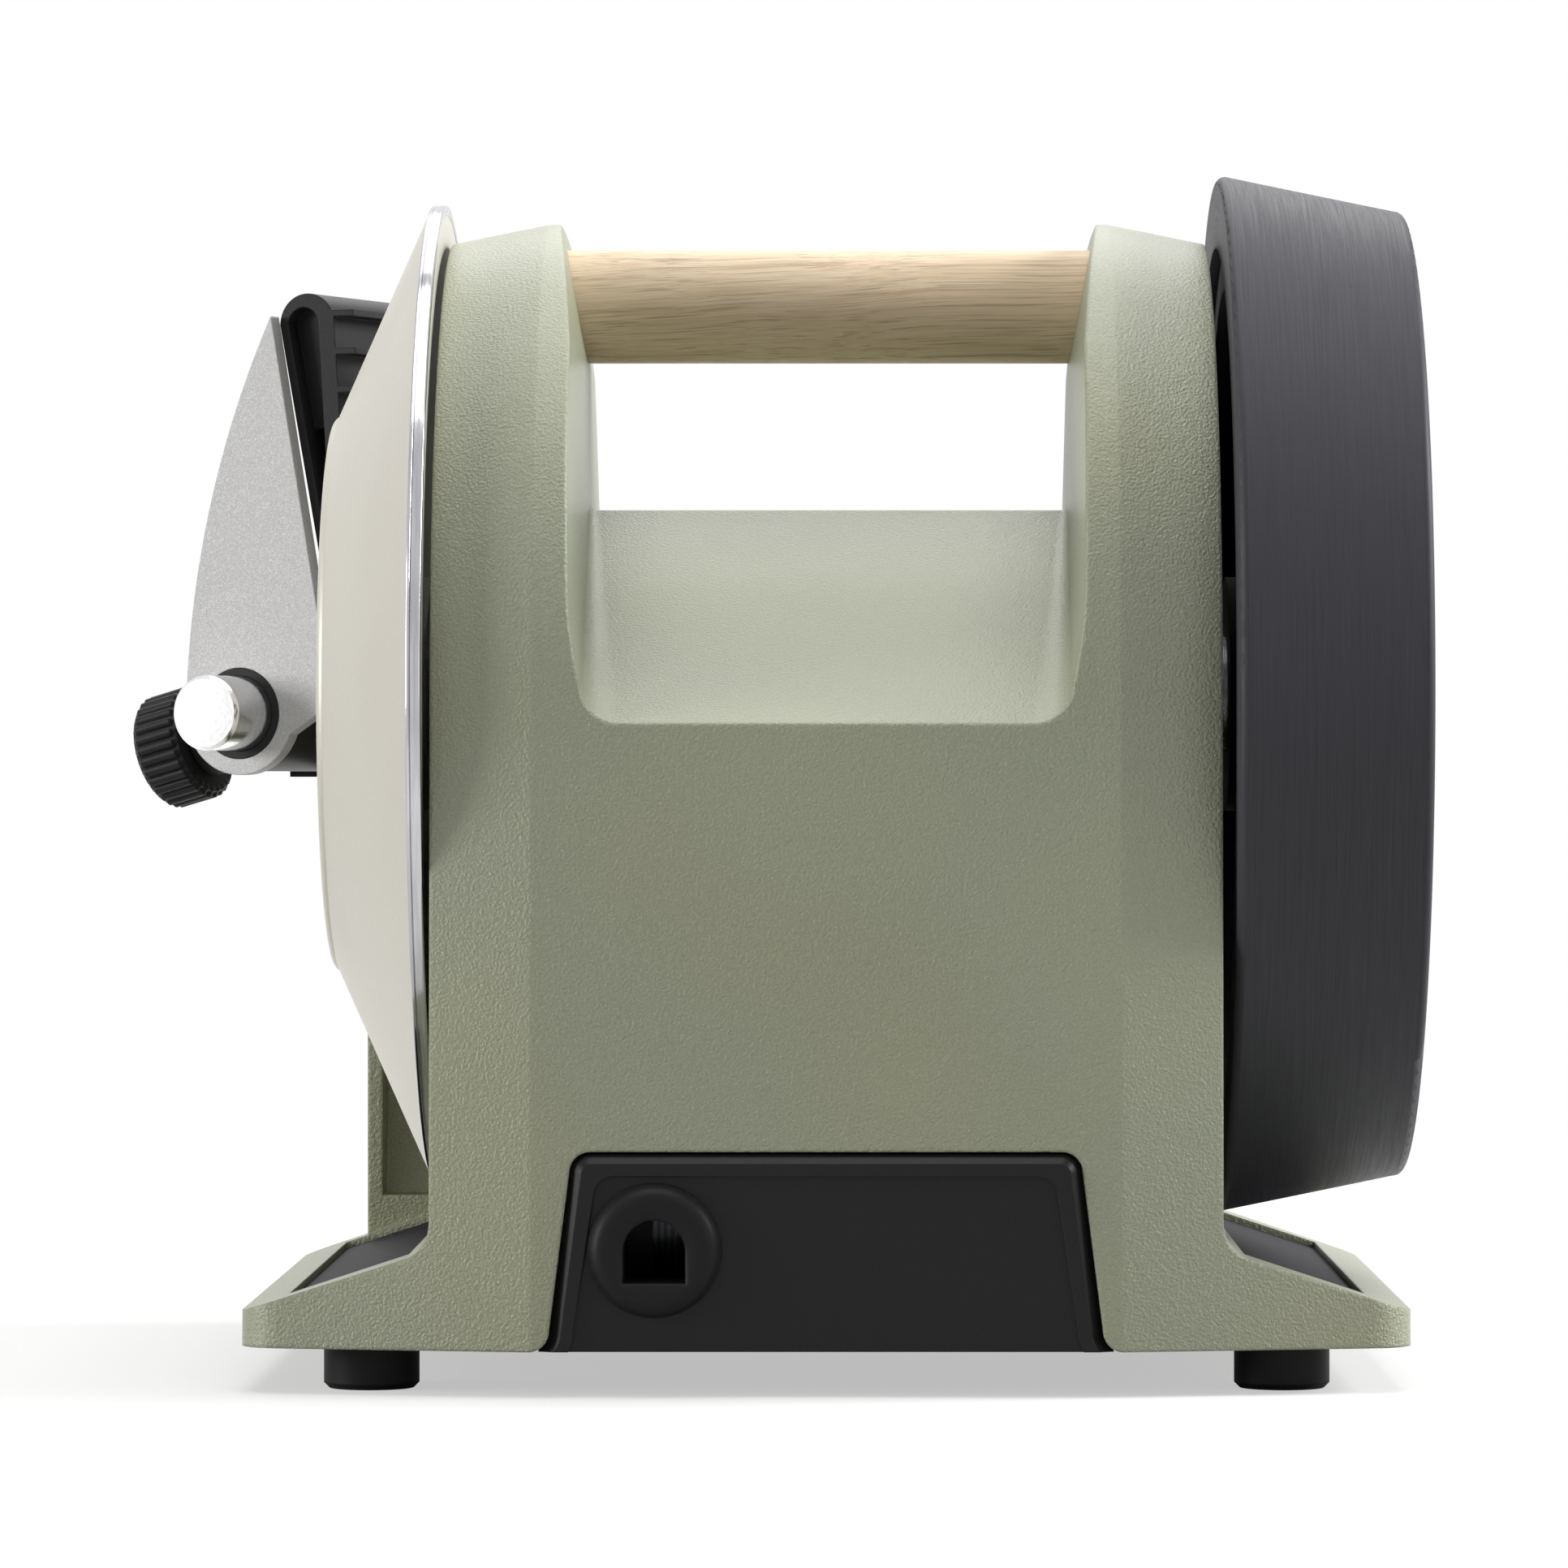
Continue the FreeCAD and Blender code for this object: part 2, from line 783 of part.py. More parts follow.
def panel_opening(grow, foot=True):
    """Trapezoid of the rear and front openings, grown by a margin; hollow rounds flare its foot."""
    top = f"foot_height + panel_height + {grow}"
    low = f"panel_low_half + {grow}"
    high = f"panel_top_half + {grow}"
    sides = [
        (high, f"{top} - panel_round", f"{high} - panel_round", f"{top} - panel_round", "ccw"),
        (f"{high} - panel_round", top),
        (f"-({high} - panel_round)", top, f"-({high} - panel_round)", f"{top} - panel_round", "ccw"),
        (f"-({high})", f"{top} - panel_round"),
    ]
    if not foot:
        return [(low, "foot_height"), *sides, (f"-({low})", "foot_height")]
    knee = "foot_height + panel_foot_round"
    middle = "panel_low_half + panel_foot_round"
    tip = f"{middle} - sqrt(({grow})^2 - 2 * panel_foot_round * ({grow}))"
    return [
        (tip, "foot_height", middle, knee, "cw"),
        (low, knee),
        *sides,
        (f"-({low})", knee, f"-({middle})", knee, "cw"),
        (f"-({tip})", "foot_height"),
    ]


def chamber_outline():
    """Side view of the main chamber: it follows the outside at one wall's distance."""
    roof_drop = "wall * sqrt(1 + saddle_slope^2)"
    edge = "arch_radius - wall"
    return [
        ("-(half_depth - wall)", "foot_height - wall"),
        ("half_depth - wall", "foot_height - wall"),
        (edge, f"{saddle_height} - {roof_drop} - saddle_slope * ({edge})"),
        ("0", f"{saddle_height} - {roof_drop}"),
        (f"-({edge})", f"{saddle_height} - {roof_drop} - saddle_slope * ({edge})"),
    ]


def cheek_chamber_outline():
    """Side view of the hollow in a cheek, round the wheel axis."""
    radius = "arch_radius - (side_half_width - flat_half_width) * band_slope - wall"
    low = "axis_height - wall"
    return [
        (f"-({radius})", low),
        (radius, low),
        (radius, "axis_height", "0", "axis_height", "ccw"),
        (f"-({radius})", "axis_height"),
    ]


def pillar_outline(skin, floor, rear):
    """Side view of the guide's pillar, hollowed round the wheel's rim behind it, or of its channel."""
    clear = "(diamond_radius + pillar_clear)"
    front = f"-(pillar_front - {skin})"
    front_top = f"-(pillar_top_front - {skin})"
    if rear:
        top = pillar_top
        rear_edge = [
            ("-pillar_rear", floor),
            ("-pillar_rear", f"axis_height - sqrt({clear}^2 - pillar_rear^2)", "0", "axis_height", "cw"),
            (pillar_top_rear, top),
        ]
    else:
        top = f"{pillar_top} - pillar_cap"
        rear_edge = [("-side_half_width", floor), ("-side_half_width", top)]
    return rear_edge + [
        (front_top, top),
        (front_top, f"{pillar_top} - pillar_knee"),
        (front, "foot_height + pillar_knee"),
        (front, floor),
    ]


def tray_outline(side, low, high, margin):
    """Cross-section of a ledge's recess between two depths below its sloping face."""
    inner = f"tray_inner + {margin}"
    outer = f"tray_outer - {margin}"
    corners = [
        (inner, f"{ledge_line(inner)} - {low}"),
        (outer, f"{ledge_line(outer)} - {low}"),
        (outer, f"{ledge_line(outer)} - {high}"),
        (inner, f"{ledge_line(inner)} - {high}"),
    ]
    return mirrored(corners, side)


def corner_places():
    """The four corners of the footprint as signs of X and Y."""
    return [(x, y) for x in (1, -1) for y in (1, -1)]


def post_spots():
    """Middles of the posts that take the base cover's screws."""
    return [(f"{x} * (side_half_width - post_inset)", f"{y} * post_y") for x in (1, -1) for y in (1, 0, -1)]


def make_shell():
    """The casting without its bosses: legs and arch in one, ledges, pillar, chambers and openings."""
    body = new_body("shell")
    pad(body, "YZ", "0", [arch_outline("0")], "2 * flat_half_width", 0)
    outer_inset = "(half_width - flat_half_width) * band_slope"
    for side in SIDES.values():
        loft(body, "AdditiveLoft", "YZ", [
            (f"{side} * flat_half_width", arch_outline("0")),
            (f"{side} * half_width", arch_outline(outer_inset)),
        ])
    clearances = [ledge_clearance(side) for side in SIDES.values()]
    pocket(body, "XZ", "0", clearances, "2 * (half_depth + wall)", 0)

    def ledge_corner(edge):
        """True for the short upright edge at an outer corner of a ledge."""
        ends = [vertex.Point for vertex in edge.Vertexes]
        return all(abs(abs(end.x) - number("half_width")) < SAME for end in ends) and (
            abs(ends[0].z - ends[-1].z) > number("ledge_edge") / 2)

    soften(body, "Fillet", "plan_corner", ledge_corner)

    # The pillar stands on the right ledge in front of the diamond wheel.
    inner_side = "side_half_width - wall"
    pad(body, "YZ", inner_side, [pillar_outline("0", "foot_height + ledge_edge", True)],
        f"pillar_half_width - ({inner_side})")
    channel = pillar_outline("pillar_wall", "pillar_floor", False)
    pocket(body, "YZ", "side_half_width + pillar_wall", [channel],
           "pillar_half_width - side_half_width - 2 * pillar_wall")

    # Chambers: one under the saddle, one in each cheek, and room for the large gear.
    pocket(body, "YZ", "0", [chamber_outline()], f"2 * ({inner_side})", 0)
    for side in SIDES.values():
        pocket(body, "YZ", f"{side} * cheek_wall", [cheek_chamber_outline()],
               f"{inner_side} - cheek_wall", side)
    gear_room = "slow_gear_teeth * slow_module / 2 + slow_module + wall"
    drill(body, "YZ", "-gear_side_wall", [("0", "axis_height", gear_room)],
          f"{inner_side} - gear_side_wall", -1)

    # Openings for the end panels, and the recesses for the trays
    pocket(body, "XZ", "0", [panel_opening("0")], "2 * (half_depth + wall)", 0)
    trays = [tray_outline(side, "tray_depth", "-wall", "0") for side in SIDES.values()]
    pocket(body, "XZ", "0", trays, "2 * tray_half_length", 0)
    cut_saddle(body)

    def rim(edge):
        """True for the edges round the gap between the cheeks, on the outside of the arch."""
        lean = number("(half_depth - arch_radius) / (axis_height - foot_height)")
        for point in edge.discretize(RIM_SAMPLES):
            height = point.z - number("axis_height")
            if height > 0:
                off = math.hypot(point.y, height) - number("arch_radius")
            else:
                off = abs(point.y) - number("arch_radius") + height * lean
            inside = abs(point.x) < number("flat_half_width") - SAME and height > -number("saddle_rise")
            if abs(off) > SAME or not inside:
                return False
        return any(abs(vertex.Point.z - number("axis_height")) > SAME for vertex in edge.Vertexes)

    soften(body, "Fillet", "rim_round", rim)
    return body


def from_cheek(side, radius, low, high, y, z):
    """A round bar from one distance beside the mid-plane outward to another."""
    return cylinder(radius, f"({high}) - ({low})", at(f"{side} * ({low})", y, z, OUTWARD[side]))


def make_housing():
    """The cast shell with its bosses, bearing seats and holes."""
    rooted = "side_half_width - wall / 2"
    bosses = []
    holes = []
    for side in SIDES.values():
        wheel_axis = ("0", "axis_height")
        handle_axis = ("0", handle_height)
        bosses += [
            from_cheek(side, "bearing_radius + boss_wall", bearing_inner, rooted, *wheel_axis),
            from_cheek(side, "handle_radius + handle_boss_wall", "cheek_wall - wall / 2",
                       "handle_half_length + wall", *handle_axis),
            from_cheek(side, "handle_screw_head + boss_wall",
                       "handle_half_length + wall / 2", rooted, *handle_axis),
        ]
        holes += [
            from_cheek(side, "bearing_radius",
                       "cheek_half_gap", "side_half_width - bearing_lip", *wheel_axis),
            from_cheek(side, "collar_radius + bearing_lip_gap",
                       "cheek_half_gap", "half_width", *wheel_axis),
            from_cheek(side, "handle_radius + screw_play", "0", "handle_half_length", *handle_axis),
            from_cheek(side, "handle_screw_radius + screw_play", "0", "half_width", *handle_axis),
            from_cheek(side, "handle_screw_head + screw_play", "side_half_width - handle_screw_head_height",
                       "half_width", *handle_axis),
        ]
    for y, z in gear_posts():
        bosses.append(from_cheek(-1, "post_radius", "gear_plate_x", rooted, y, z))
        holes.append(from_cheek(-1, "cover_screw_radius + screw_play",
                                "0", "gear_plate_x + cover_screw_length", y, z))
    bosses.append(from_cheek(-1, "idler_axle_radius + boss_wall", axle_tip, rooted, idler_y, idler_z))
    holes.append(from_cheek(-1, "idler_axle_radius + screw_play", "0", f"{axle_tip} + axle_seat_depth",
                            idler_y, idler_z))
    for x, y in post_spots():
        bosses.append(cylinder("post_radius", "post_height", at(x, y, "foot_height + cover_thickness")))
        holes.append(cylinder("cover_screw_radius + screw_play", "cover_screw_length + wall",
                              at(x, y, "foot_height")))
    for x, y in corner_places():
        holes.append(cylinder("m4_radius + screw_play", "foot_screw_length + seat_gap",
                              at(f"{x} * foot_x", f"{y} * foot_y", "foot_height - foot_head_depth")))
    for x, y in arm_spots():
        holes.append(cylinder("m4_radius + screw_play", "pillar_cap + 2 * wall",
                              at(x, y, f"{pillar_top} - pillar_cap - wall")))
    keep(cut(fused([make_shell(), *bosses]), holes), "housing")


# Feet, trays, handle, cover and panels

def make_feet():
    """Four rubber feet, each with a sunk screw."""
    screws = []
    for x, y in corner_places():
        name = f"foot_{'rear' if y > 0 else 'front'}_{'right' if x > 0 else 'left'}"
        play = "m4_radius + screw_play"
        sunk = "foot_height - foot_head_depth"
        keep(turned(name, [
            ("m4_head_radius + screw_play", "0"),
            ("foot_radius - foot_round", "0"),
            ("foot_radius", "foot_round"),
            ("foot_radius", "foot_height"),
            (play, "foot_height"),
            (play, sunk),
            ("m4_head_radius + screw_play", sunk),
        ], at(f"{x} * foot_x", f"{y} * foot_y", "0")))
        screws.append(headed_screw(at(f"{x} * foot_x", f"{y} * foot_y", sunk),
                                   "m4_radius", "foot_screw_length", "m4_head_radius", "m4_head_height"))
    group("foot_screws", screws)


def make_trays():
    """The dark inserts in the sloping recesses under the wheels."""
    for name, side in SIDES.items():
        body = new_body(f"tray_insert_{name}")
        section = tray_outline(
            side, "(tray_depth - screw_play)", "(tray_depth - tray_thickness)", "screw_play")
        pad(body, "XZ", "0", [section], "2 * (tray_half_length - screw_play)", 0)
        keep(body)


def make_handle():
    """An oak dowel let into both cheeks and held by a screw at each end."""
    body = turned("handle", [
        ("0", "-handle_half_length"),
        ("handle_radius", "-handle_half_length"),
        ("handle_radius", "handle_half_length"),
        ("0", "handle_half_length"),
    ], at("0", "0", handle_height, ALONG_X))
    bite = "handle_screw_bite"
    screw_hole = ("0", "0", "handle_screw_radius + screw_play")
    drill(body, "XY", "-handle_half_length", [screw_hole], bite)
    drill(body, "XY", f"handle_half_length - {bite}", [screw_hole], bite)
    keep(body)
    screws = []
    for side in SIDES.values():
        seat = "side_half_width - handle_screw_head_height"
        place = at(f"{side} * ({seat})", "0", handle_height, INWARD[side])
        length = f"{seat} - handle_half_length + {bite} - wall"
        screws.append(headed_screw(place, "handle_screw_radius", length,
                                   "handle_screw_head", "handle_screw_head_height - seat_gap"))
    group("handle_screws", screws)


def make_base_cover():
    """The plate that closes the shell from below, with its sunk screws."""
    body = new_body("base_cover")
    half_x = "side_half_width - wall - panel_gap"
    half_y = "half_depth - screw_play - panel_thickness - panel_gap"
    outline = rectangle(f"-({half_x})", f"-({half_y})", half_x, half_y)
    pad(body, "XY", "foot_height", [outline], "cover_thickness")
    drill(body, "XY", "foot_height",
          [(x, y, "cover_screw_radius + screw_play") for x, y in post_spots()], "cover_thickness")
    drill(body, "XY", "foot_height",
          [(x, y, "cover_screw_head + screw_play") for x, y in post_spots()], "cover_screw_sink")
    keep(body)
    screws = [
        headed_screw(at(x, y, "foot_height + cover_screw_sink"), "cover_screw_radius", "cover_screw_length",
                     "cover_screw_head", "cover_screw_radius")
        for x, y in post_spots()
    ]
    group("base_cover_screws", screws)


def panel_plate(label, side):
    """A black end panel: a plug in the opening, with a bevelled frame and a lip behind the wall."""
    body = new_body(label)
    face = f"{side} * (half_depth - screw_play)"
    back = f"{side} * (half_depth - screw_play - panel_thickness)"
    pad(body, "XZ", face, [panel_opening("-panel_gap")], "panel_thickness", -side)

    def face_edge(edge):
        """True for the upper edges of the outer face."""
        ends = [vertex.Point for vertex in edge.Vertexes]
        low = number("foot_height") + SAME
        return all(abs(end.y - number(face)) < SAME for end in ends) and any(end.z > low for end in ends)

    soften(body, "Chamfer", "panel_bevel", face_edge)
    pocket(body, "XZ", face, [panel_opening("-panel_gap - panel_frame")], "panel_sink", -side)
    pad(body, "XZ", back, [panel_opening("panel_lip", False)], "panel_lip_thickness", -side)
    low = "foot_height + cover_thickness + seat_gap"
    far = "panel_low_half + 2 * panel_lip"
    pocket(body, "XZ", back, [rectangle(f"-({far})", "0", far, low)], "2 * panel_lip_thickness", -side)
    return body


def make_panels():
    """Rear panel with the cord bushing's hole, front panel with the switch's hole."""
    rear = panel_plate("rear_panel", 1)
    through = "panel_thickness + panel_lip_thickness + wall"
    neck_hole = ("bushing_x", "bushing_height", "bushing_neck + screw_play")
    drill(rear, "XZ", "half_depth", [neck_hole], through, -1)
    keep(rear)
    front = panel_plate("front_panel", -1)
    half_x = "switch_width / 2 + screw_play"
    half_z = "switch_tall / 2 + screw_play"
    pocket(front, "XZ", "-half_depth", [rectangle(
        f"-({half_x})", f"switch_height - ({half_z})", half_x, f"switch_height + {half_z}")], through, 1)
    keep(front)


def make_bushing():
    """Domed bushing with a D-shaped way through; no cord is fitted."""
    back = "panel_thickness - panel_sink + panel_lip_thickness + seat_gap"
    tail = f"{back} + bushing_tail"
    shoulder = "bushing_proud - bushing_dome"
    body = turned("cord_bushing", [
        ("bushing_pilot", "bushing_proud"),
        ("bushing_pilot", f"-({tail})"),
        ("bushing_neck", f"-({tail})"),
        ("bushing_neck + bushing_barb", f"-({back}) - bushing_barb"),
        ("bushing_neck + bushing_barb", f"-({back})"),
        ("bushing_neck", f"-({back})"),
        ("bushing_neck", "screw_play"),
        ("bushing_radius", "screw_play"),
        ("bushing_radius", shoulder, "bushing_radius - bushing_dome", shoulder, "ccw"),
        ("bushing_radius - bushing_dome", "bushing_proud"),
    ], at("bushing_x", "half_depth - panel_sink", "bushing_height", Rotation(Vector(1, 0, 0), -90)))
    half = "cord_width / 2"
    low = "cord_height - cord_width / 2"
    pocket(body, "XY", "bushing_proud", [[
        (f"-({half})", low),
        (f"-({half})", "0", "0", "0", "ccw"),
        (half, "0"),
        (half, low),
    ]], f"{tail} + bushing_proud", -1)
    keep(body)


def upright(x, z, half_x, half_z):
    """A rectangle in front view from its middle and its halves."""
    return rectangle(f"{x} - ({half_x})", f"{z} - ({half_z})", f"{x} + {half_x}", f"{z} + {half_z}")


def make_switch():
    """Rocker switch: the fixed case with its bezel, and the tilting rocker."""
    face = "-(half_depth - panel_sink)"
    middle = ("0", "switch_height")
    case = new_body("switch_case")
    pad(case, "XZ", face, [upright(*middle, "bezel_width / 2", "bezel_tall / 2")], "bezel_thickness", -1)
    pad(case, "XZ", face, [upright(*middle, "switch_width / 2", "switch_tall / 2")], "switch_depth")
    half_x = "bezel_width / 2 - bezel_rim"
    half_z = "bezel_tall / 2 - bezel_rim"
    pocket(case, "XZ", f"{face} - bezel_thickness", [upright(*middle, half_x, half_z)],
           "switch_depth + bezel_thickness - switch_floor")
    pin_half = "switch_width / 2 - pin_cover"
    pin_hole = (f"{face} + rocker_pivot_depth", "switch_height", "rocker_pin_radius + screw_play")
    drill(case, "YZ", "0", [pin_hole], f"2 * ({pin_half})", 0)
    keep(case)

    # The rocker is drawn level about its pivot and then tipped to its off position.
    pivot = at("0", f"{face} + rocker_pivot_depth", "switch_height",
               Rotation(Vector(1, 0, 0), number("rocker_tilt")))
    rocker = new_body("switch_rocker", pivot)
    half_key = f"{half_z} - rocker_gap - rocker_rise"
    face_out = "rocker_pivot_depth + bezel_thickness"
    pad(rocker, "YZ", "0", [[
        (f"-({face_out}) - rocker_rise", f"-({half_key})"),
        ("rocker_pin_radius", f"-({half_key}) / 2"),
        ("rocker_back", "0"),
        ("rocker_pin_radius", f"({half_key}) / 2"),
        (f"-({face_out}) - rocker_rise", half_key),
        (f"-({face_out})", "0"),
    ]], f"2 * ({half_x} - rocker_gap)", 0)
    rod(rocker, "YZ", "0", [("0", "0", "rocker_pin_radius")], f"2 * ({pin_half} - seat_gap)", 0)
    keep(rocker)


# Wheels and their shaft

def make_bearings():
    """Ball bearings in the two cheeks, drawn as single rings with a groove in each face."""
    outside = "bearing_radius - screw_play"
    for name, side in SIDES.items():
        keep(turned(f"bearing_{name}", [
            (shaft_bore, bearing_inner),
            ("shoulder_radius + bearing_groove", bearing_inner),
            ("shoulder_radius + bearing_groove", f"{bearing_inner} + bearing_groove"),
            (f"{outside} - 2 * bearing_groove", f"{bearing_inner} + bearing_groove"),
            (f"{outside} - 2 * bearing_groove", bearing_inner),
            (outside, bearing_inner),
            (outside, f"{bearing_inner} + bearing_width"),
            (shaft_bore, f"{bearing_inner} + bearing_width"),
        ], wheel_frame(side)))


def make_shaft():
    """The shaft through both cheeks, with the collars and the spacer on it."""
    left = f"-({honing_face} - hub_recess - seat_gap)"
    right = "diamond_face - hub_recess - seat_gap"
    threaded = "bolt_radius + screw_play"
    keep(turned("wheel_shaft", [
        ("0", f"{left} + bolt_depth"),
        (threaded, f"{left} + bolt_depth"),
        (threaded, left),
        ("shaft_radius", left),
        ("shaft_radius", "-main_gear_start"),
        ("shoulder_radius", "-main_gear_start"),
        ("shoulder_radius", f"{bearing_inner} - seat_gap"),
        ("shaft_radius", f"{bearing_inner} - seat_gap"),
        ("shaft_radius", right),
        (threaded, right),
        (threaded, f"{right} - bolt_depth"),
        ("0", f"{right} - bolt_depth"),
    ], wheel_frame()))
    collar_start = "side_half_width - bearing_lip + seat_gap"
    for name, side in SIDES.items():
        keep(turned(f"wheel_collar_{name}", ring(shaft_bore, "collar_radius", collar_start, hub_back),
                    wheel_frame(side)))
    keep(turned("shaft_spacer", ring(shaft_bore, "collar_radius", "main_gear_start + slow_face",
                                     f"{bearing_inner} - seat_gap"), wheel_frame(-1)))


def ring(inner, outer, low, high):
    """Half section of a plain ring."""
    return [(inner, low), (outer, low), (outer, high), (inner, high)]


def make_diamond_wheel():
    """The silver wheel: a hollow cone with a narrow rim, a flat face and a hub."""
    back = "side_half_width + wheel_gap"
    edge = "diamond_radius - rim_round"
    steepness = f"(({edge} - diamond_face_radius) / (diamond_face - ({back} + rim_band)))"
    floor = "diamond_face - hub_recess"
    web = "diamond_face - web_thickness"
    keep(turned("diamond_wheel", [
        (shaft_bore, hub_back),
        ("hub_radius", hub_back),
        ("hub_radius", web),
        (f"diamond_face_radius + (web_thickness - cone_wall) * {steepness}", web),
        (f"{edge} - (cone_wall - rim_band) * {steepness}", back),
        (edge, back),
        ("diamond_radius", f"{back} + rim_round"),
        ("diamond_radius", f"{back} + rim_band - rim_round"),
        (edge, f"{back} + rim_band"),
        ("diamond_face_radius", "diamond_face"),
        ("hub_recess_radius", "diamond_face"),
        ("hub_recess_radius", floor),
        (shaft_bore, floor),
    ], wheel_frame()))


def make_honing_wheel():
    """The charcoal wheel: a tapered composite ring on a moulded core."""
    back = "side_half_width + honing_gap"
    inner_middle = "honing_inner_radius - honing_round"
    outer_middle = "honing_outer_radius - honing_round"
    rounded = f"{honing_face} - honing_round"
    keep(turned("honing_ring", [
        ("honing_bore", back),
        (inner_middle, back, inner_middle, f"{back} + honing_round", "ccw"),
        ("honing_inner_radius", f"{back} + honing_round"),
        ("honing_outer_radius", rounded, outer_middle, rounded, "ccw"),
        (outer_middle, honing_face),
        ("honing_bore", honing_face),
    ], wheel_frame(-1)))
    outside = "honing_bore - screw_play"
    inside = f"{outside} - core_rim"
    web = f"{honing_face} - core_web_inset"
    floor = f"{honing_face} - hub_recess"
    keep(turned("honing_core", [
        (shaft_bore, hub_back),
        ("hub_radius", hub_back),
        ("hub_radius", f"{web} - core_web"),
        (inside, f"{web} - core_web"),
        (inside, f"{back} + core_inset"),
        (outside, f"{back} + core_inset"),
        (outside, f"{honing_face} - core_inset"),
        (inside, f"{honing_face} - core_inset"),
        (inside, web),
        ("hub_recess_radius", web),
        ("hub_recess_radius", floor),
        (shaft_bore, floor),
    ], wheel_frame(-1)))


def make_wheel_bolts():
    """A washer and a hexagon bolt hold each wheel on the shaft."""
    washers = []
    bolts = []
    for side, face in ((1, "diamond_face"), (-1, honing_face)):
        floor = f"{face} - hub_recess"
        seat = f"{floor} + washer_thickness"
        washer_ring = ring("bolt_radius + screw_play", "washer_radius", floor, seat)
        washer = turned("washer", washer_ring, wheel_frame(side))
        head = doc.addObject("Part::Prism", "head")
        head.Polygon = 6
        bind(head, "Circumradius", "bolt_head_radius")
        bind(head, "Height", "bolt_head_height")
        head.Placement = wheel_frame(side) * at("0", "0", seat)
        reach = "washer_thickness + bolt_depth - bolt_radius"
        shank = cylinder("bolt_radius", reach, wheel_frame(side) * at("0", "0", f"{seat} - ({reach})"))
        washers.append(washer)
        bolts.append(fused([head, shank]))
    group("wheel_washers", washers)
    group("wheel_bolts", bolts)


# Gears

def gear_disc(teeth, module, tooth_at, low, high):
    """A spur gear about the X axis: root, pitch line and tip of each flank lie on the involute."""
    pressure = math.radians(number("tooth_pressure_degrees"))
    pitch_radius = teeth * module / 2
    base_radius = pitch_radius * math.cos(pressure)
    radii = (
        pitch_radius - number("tooth_dedendum") * module,
        pitch_radius,
        pitch_radius + number("tooth_addendum") * module,
    )
    points = []
    for tooth in range(teeth):
        middle = tooth_at + 2 * math.pi * tooth / teeth
        flank = []
        for radius in radii:
            slant = math.acos(min(1, base_radius / radius))
            half = number("tooth_share") * math.pi / teeth + (math.tan(pressure) - pressure)
            half -= math.tan(slant) - slant
            flank.append((radius, half))
        sides = [(radius, middle - half) for radius, half in flank]
        sides += [(radius, middle + half) for radius, half in reversed(flank)]
        points += [Vector(low, radius * math.cos(angle), radius * math.sin(angle))
                   for radius, angle in sides]
    outline = Part.makePolygon(points + points[:1])
    return Part.Face(outline).extrude(Vector(high - low, 0, 0))


def disc(radius, low, high):
    """A plain disc about the X axis."""
    return Part.makeCylinder(radius, high - low, Vector(low, 0, 0), Vector(1, 0, 0))


def add_gear(label, shape, y, z):
    """Lists a gear as a sub-part on its own axis."""
    item = doc.addObject("Part::Feature", label)
    item.Shape = shape
    return keep(item, label, at("0", y, z))


def make_gears():
    """Two reductions on the left: motor to idler, idler to wheel shaft."""
    slow_module = number("slow_module")
    fast_module = number("fast_module")
    slow_teeth = int(number("slow_gear_teeth"))
    slow_pinion_teeth = int(number("slow_pinion_teeth"))
    fast_teeth = int(number("fast_gear_teeth"))
    fast_pinion_teeth = int(number("fast_pinion_teeth"))
    to_idler = math.atan2(number(f"{idler_z} - axis_height"), number(idler_y))
    to_motor = math.atan2(number(f"({motor_z}) - ({idler_z})"), number(f"motor_y - ({idler_y})"))

    start = -number("main_gear_start + slow_face")
    end = -number("main_gear_start")
    rim = (slow_teeth / 2 - number("gear_rim_modules")) * slow_module
    hub = number("gear_hub_radius")
    dish = number("gear_dish")
    main = gear_disc(slow_teeth, slow_module, to_idler, start, end)
    main = main.cut(disc(number(shaft_bore), start, end))
    for low in (start, end - dish):
        main = main.cut(disc(rim, low, low + dish).cut(disc(hub, low, low + dish)))
    add_gear("main_gear", main, "0", "axis_height")

    # The idler carries the small slow pinion outside and the large fast gear inside.
    extra = number("pinion_extra")
    pinion_end = end + extra
    half_tooth = math.pi / slow_pinion_teeth
    idler = gear_disc(slow_pinion_teeth, slow_module, to_idler + math.pi + half_tooth,
                      start - extra, pinion_end)
    gear_low = pinion_end + number("idler_step_gap")
    gear_high = gear_low + number("fast_face")
    neck = (slow_pinion_teeth / 2 - number("gear_neck_modules")) * slow_module
    idler = idler.fuse(disc(neck, start - extra, gear_high))
    idler = idler.fuse(gear_disc(fast_teeth, fast_module, to_motor, gear_low, gear_high))
    idler = idler.removeSplitter()
    idler = idler.cut(disc(number("idler_axle_radius + running_fit"), start - extra, gear_high))
    add_gear("idler_gear", idler, idler_y, idler_z)

    half_tooth = math.pi / fast_pinion_teeth
    low = gear_low - extra / 2
    high = gear_high + extra / 2
    pinion = gear_disc(fast_pinion_teeth, fast_module, to_motor + math.pi + half_tooth, low, high)
    pinion = pinion.cut(disc(number("motor_shaft_radius + screw_play"), low, high))
    add_gear("fast_pinion", pinion, "motor_y", motor_z)


def fast_pinion_tip():
    """Distance left of the mid-plane at which the motor's pinion and its shaft end."""
    return "main_gear_start - pinion_extra - idler_step_gap + pinion_extra / 2"


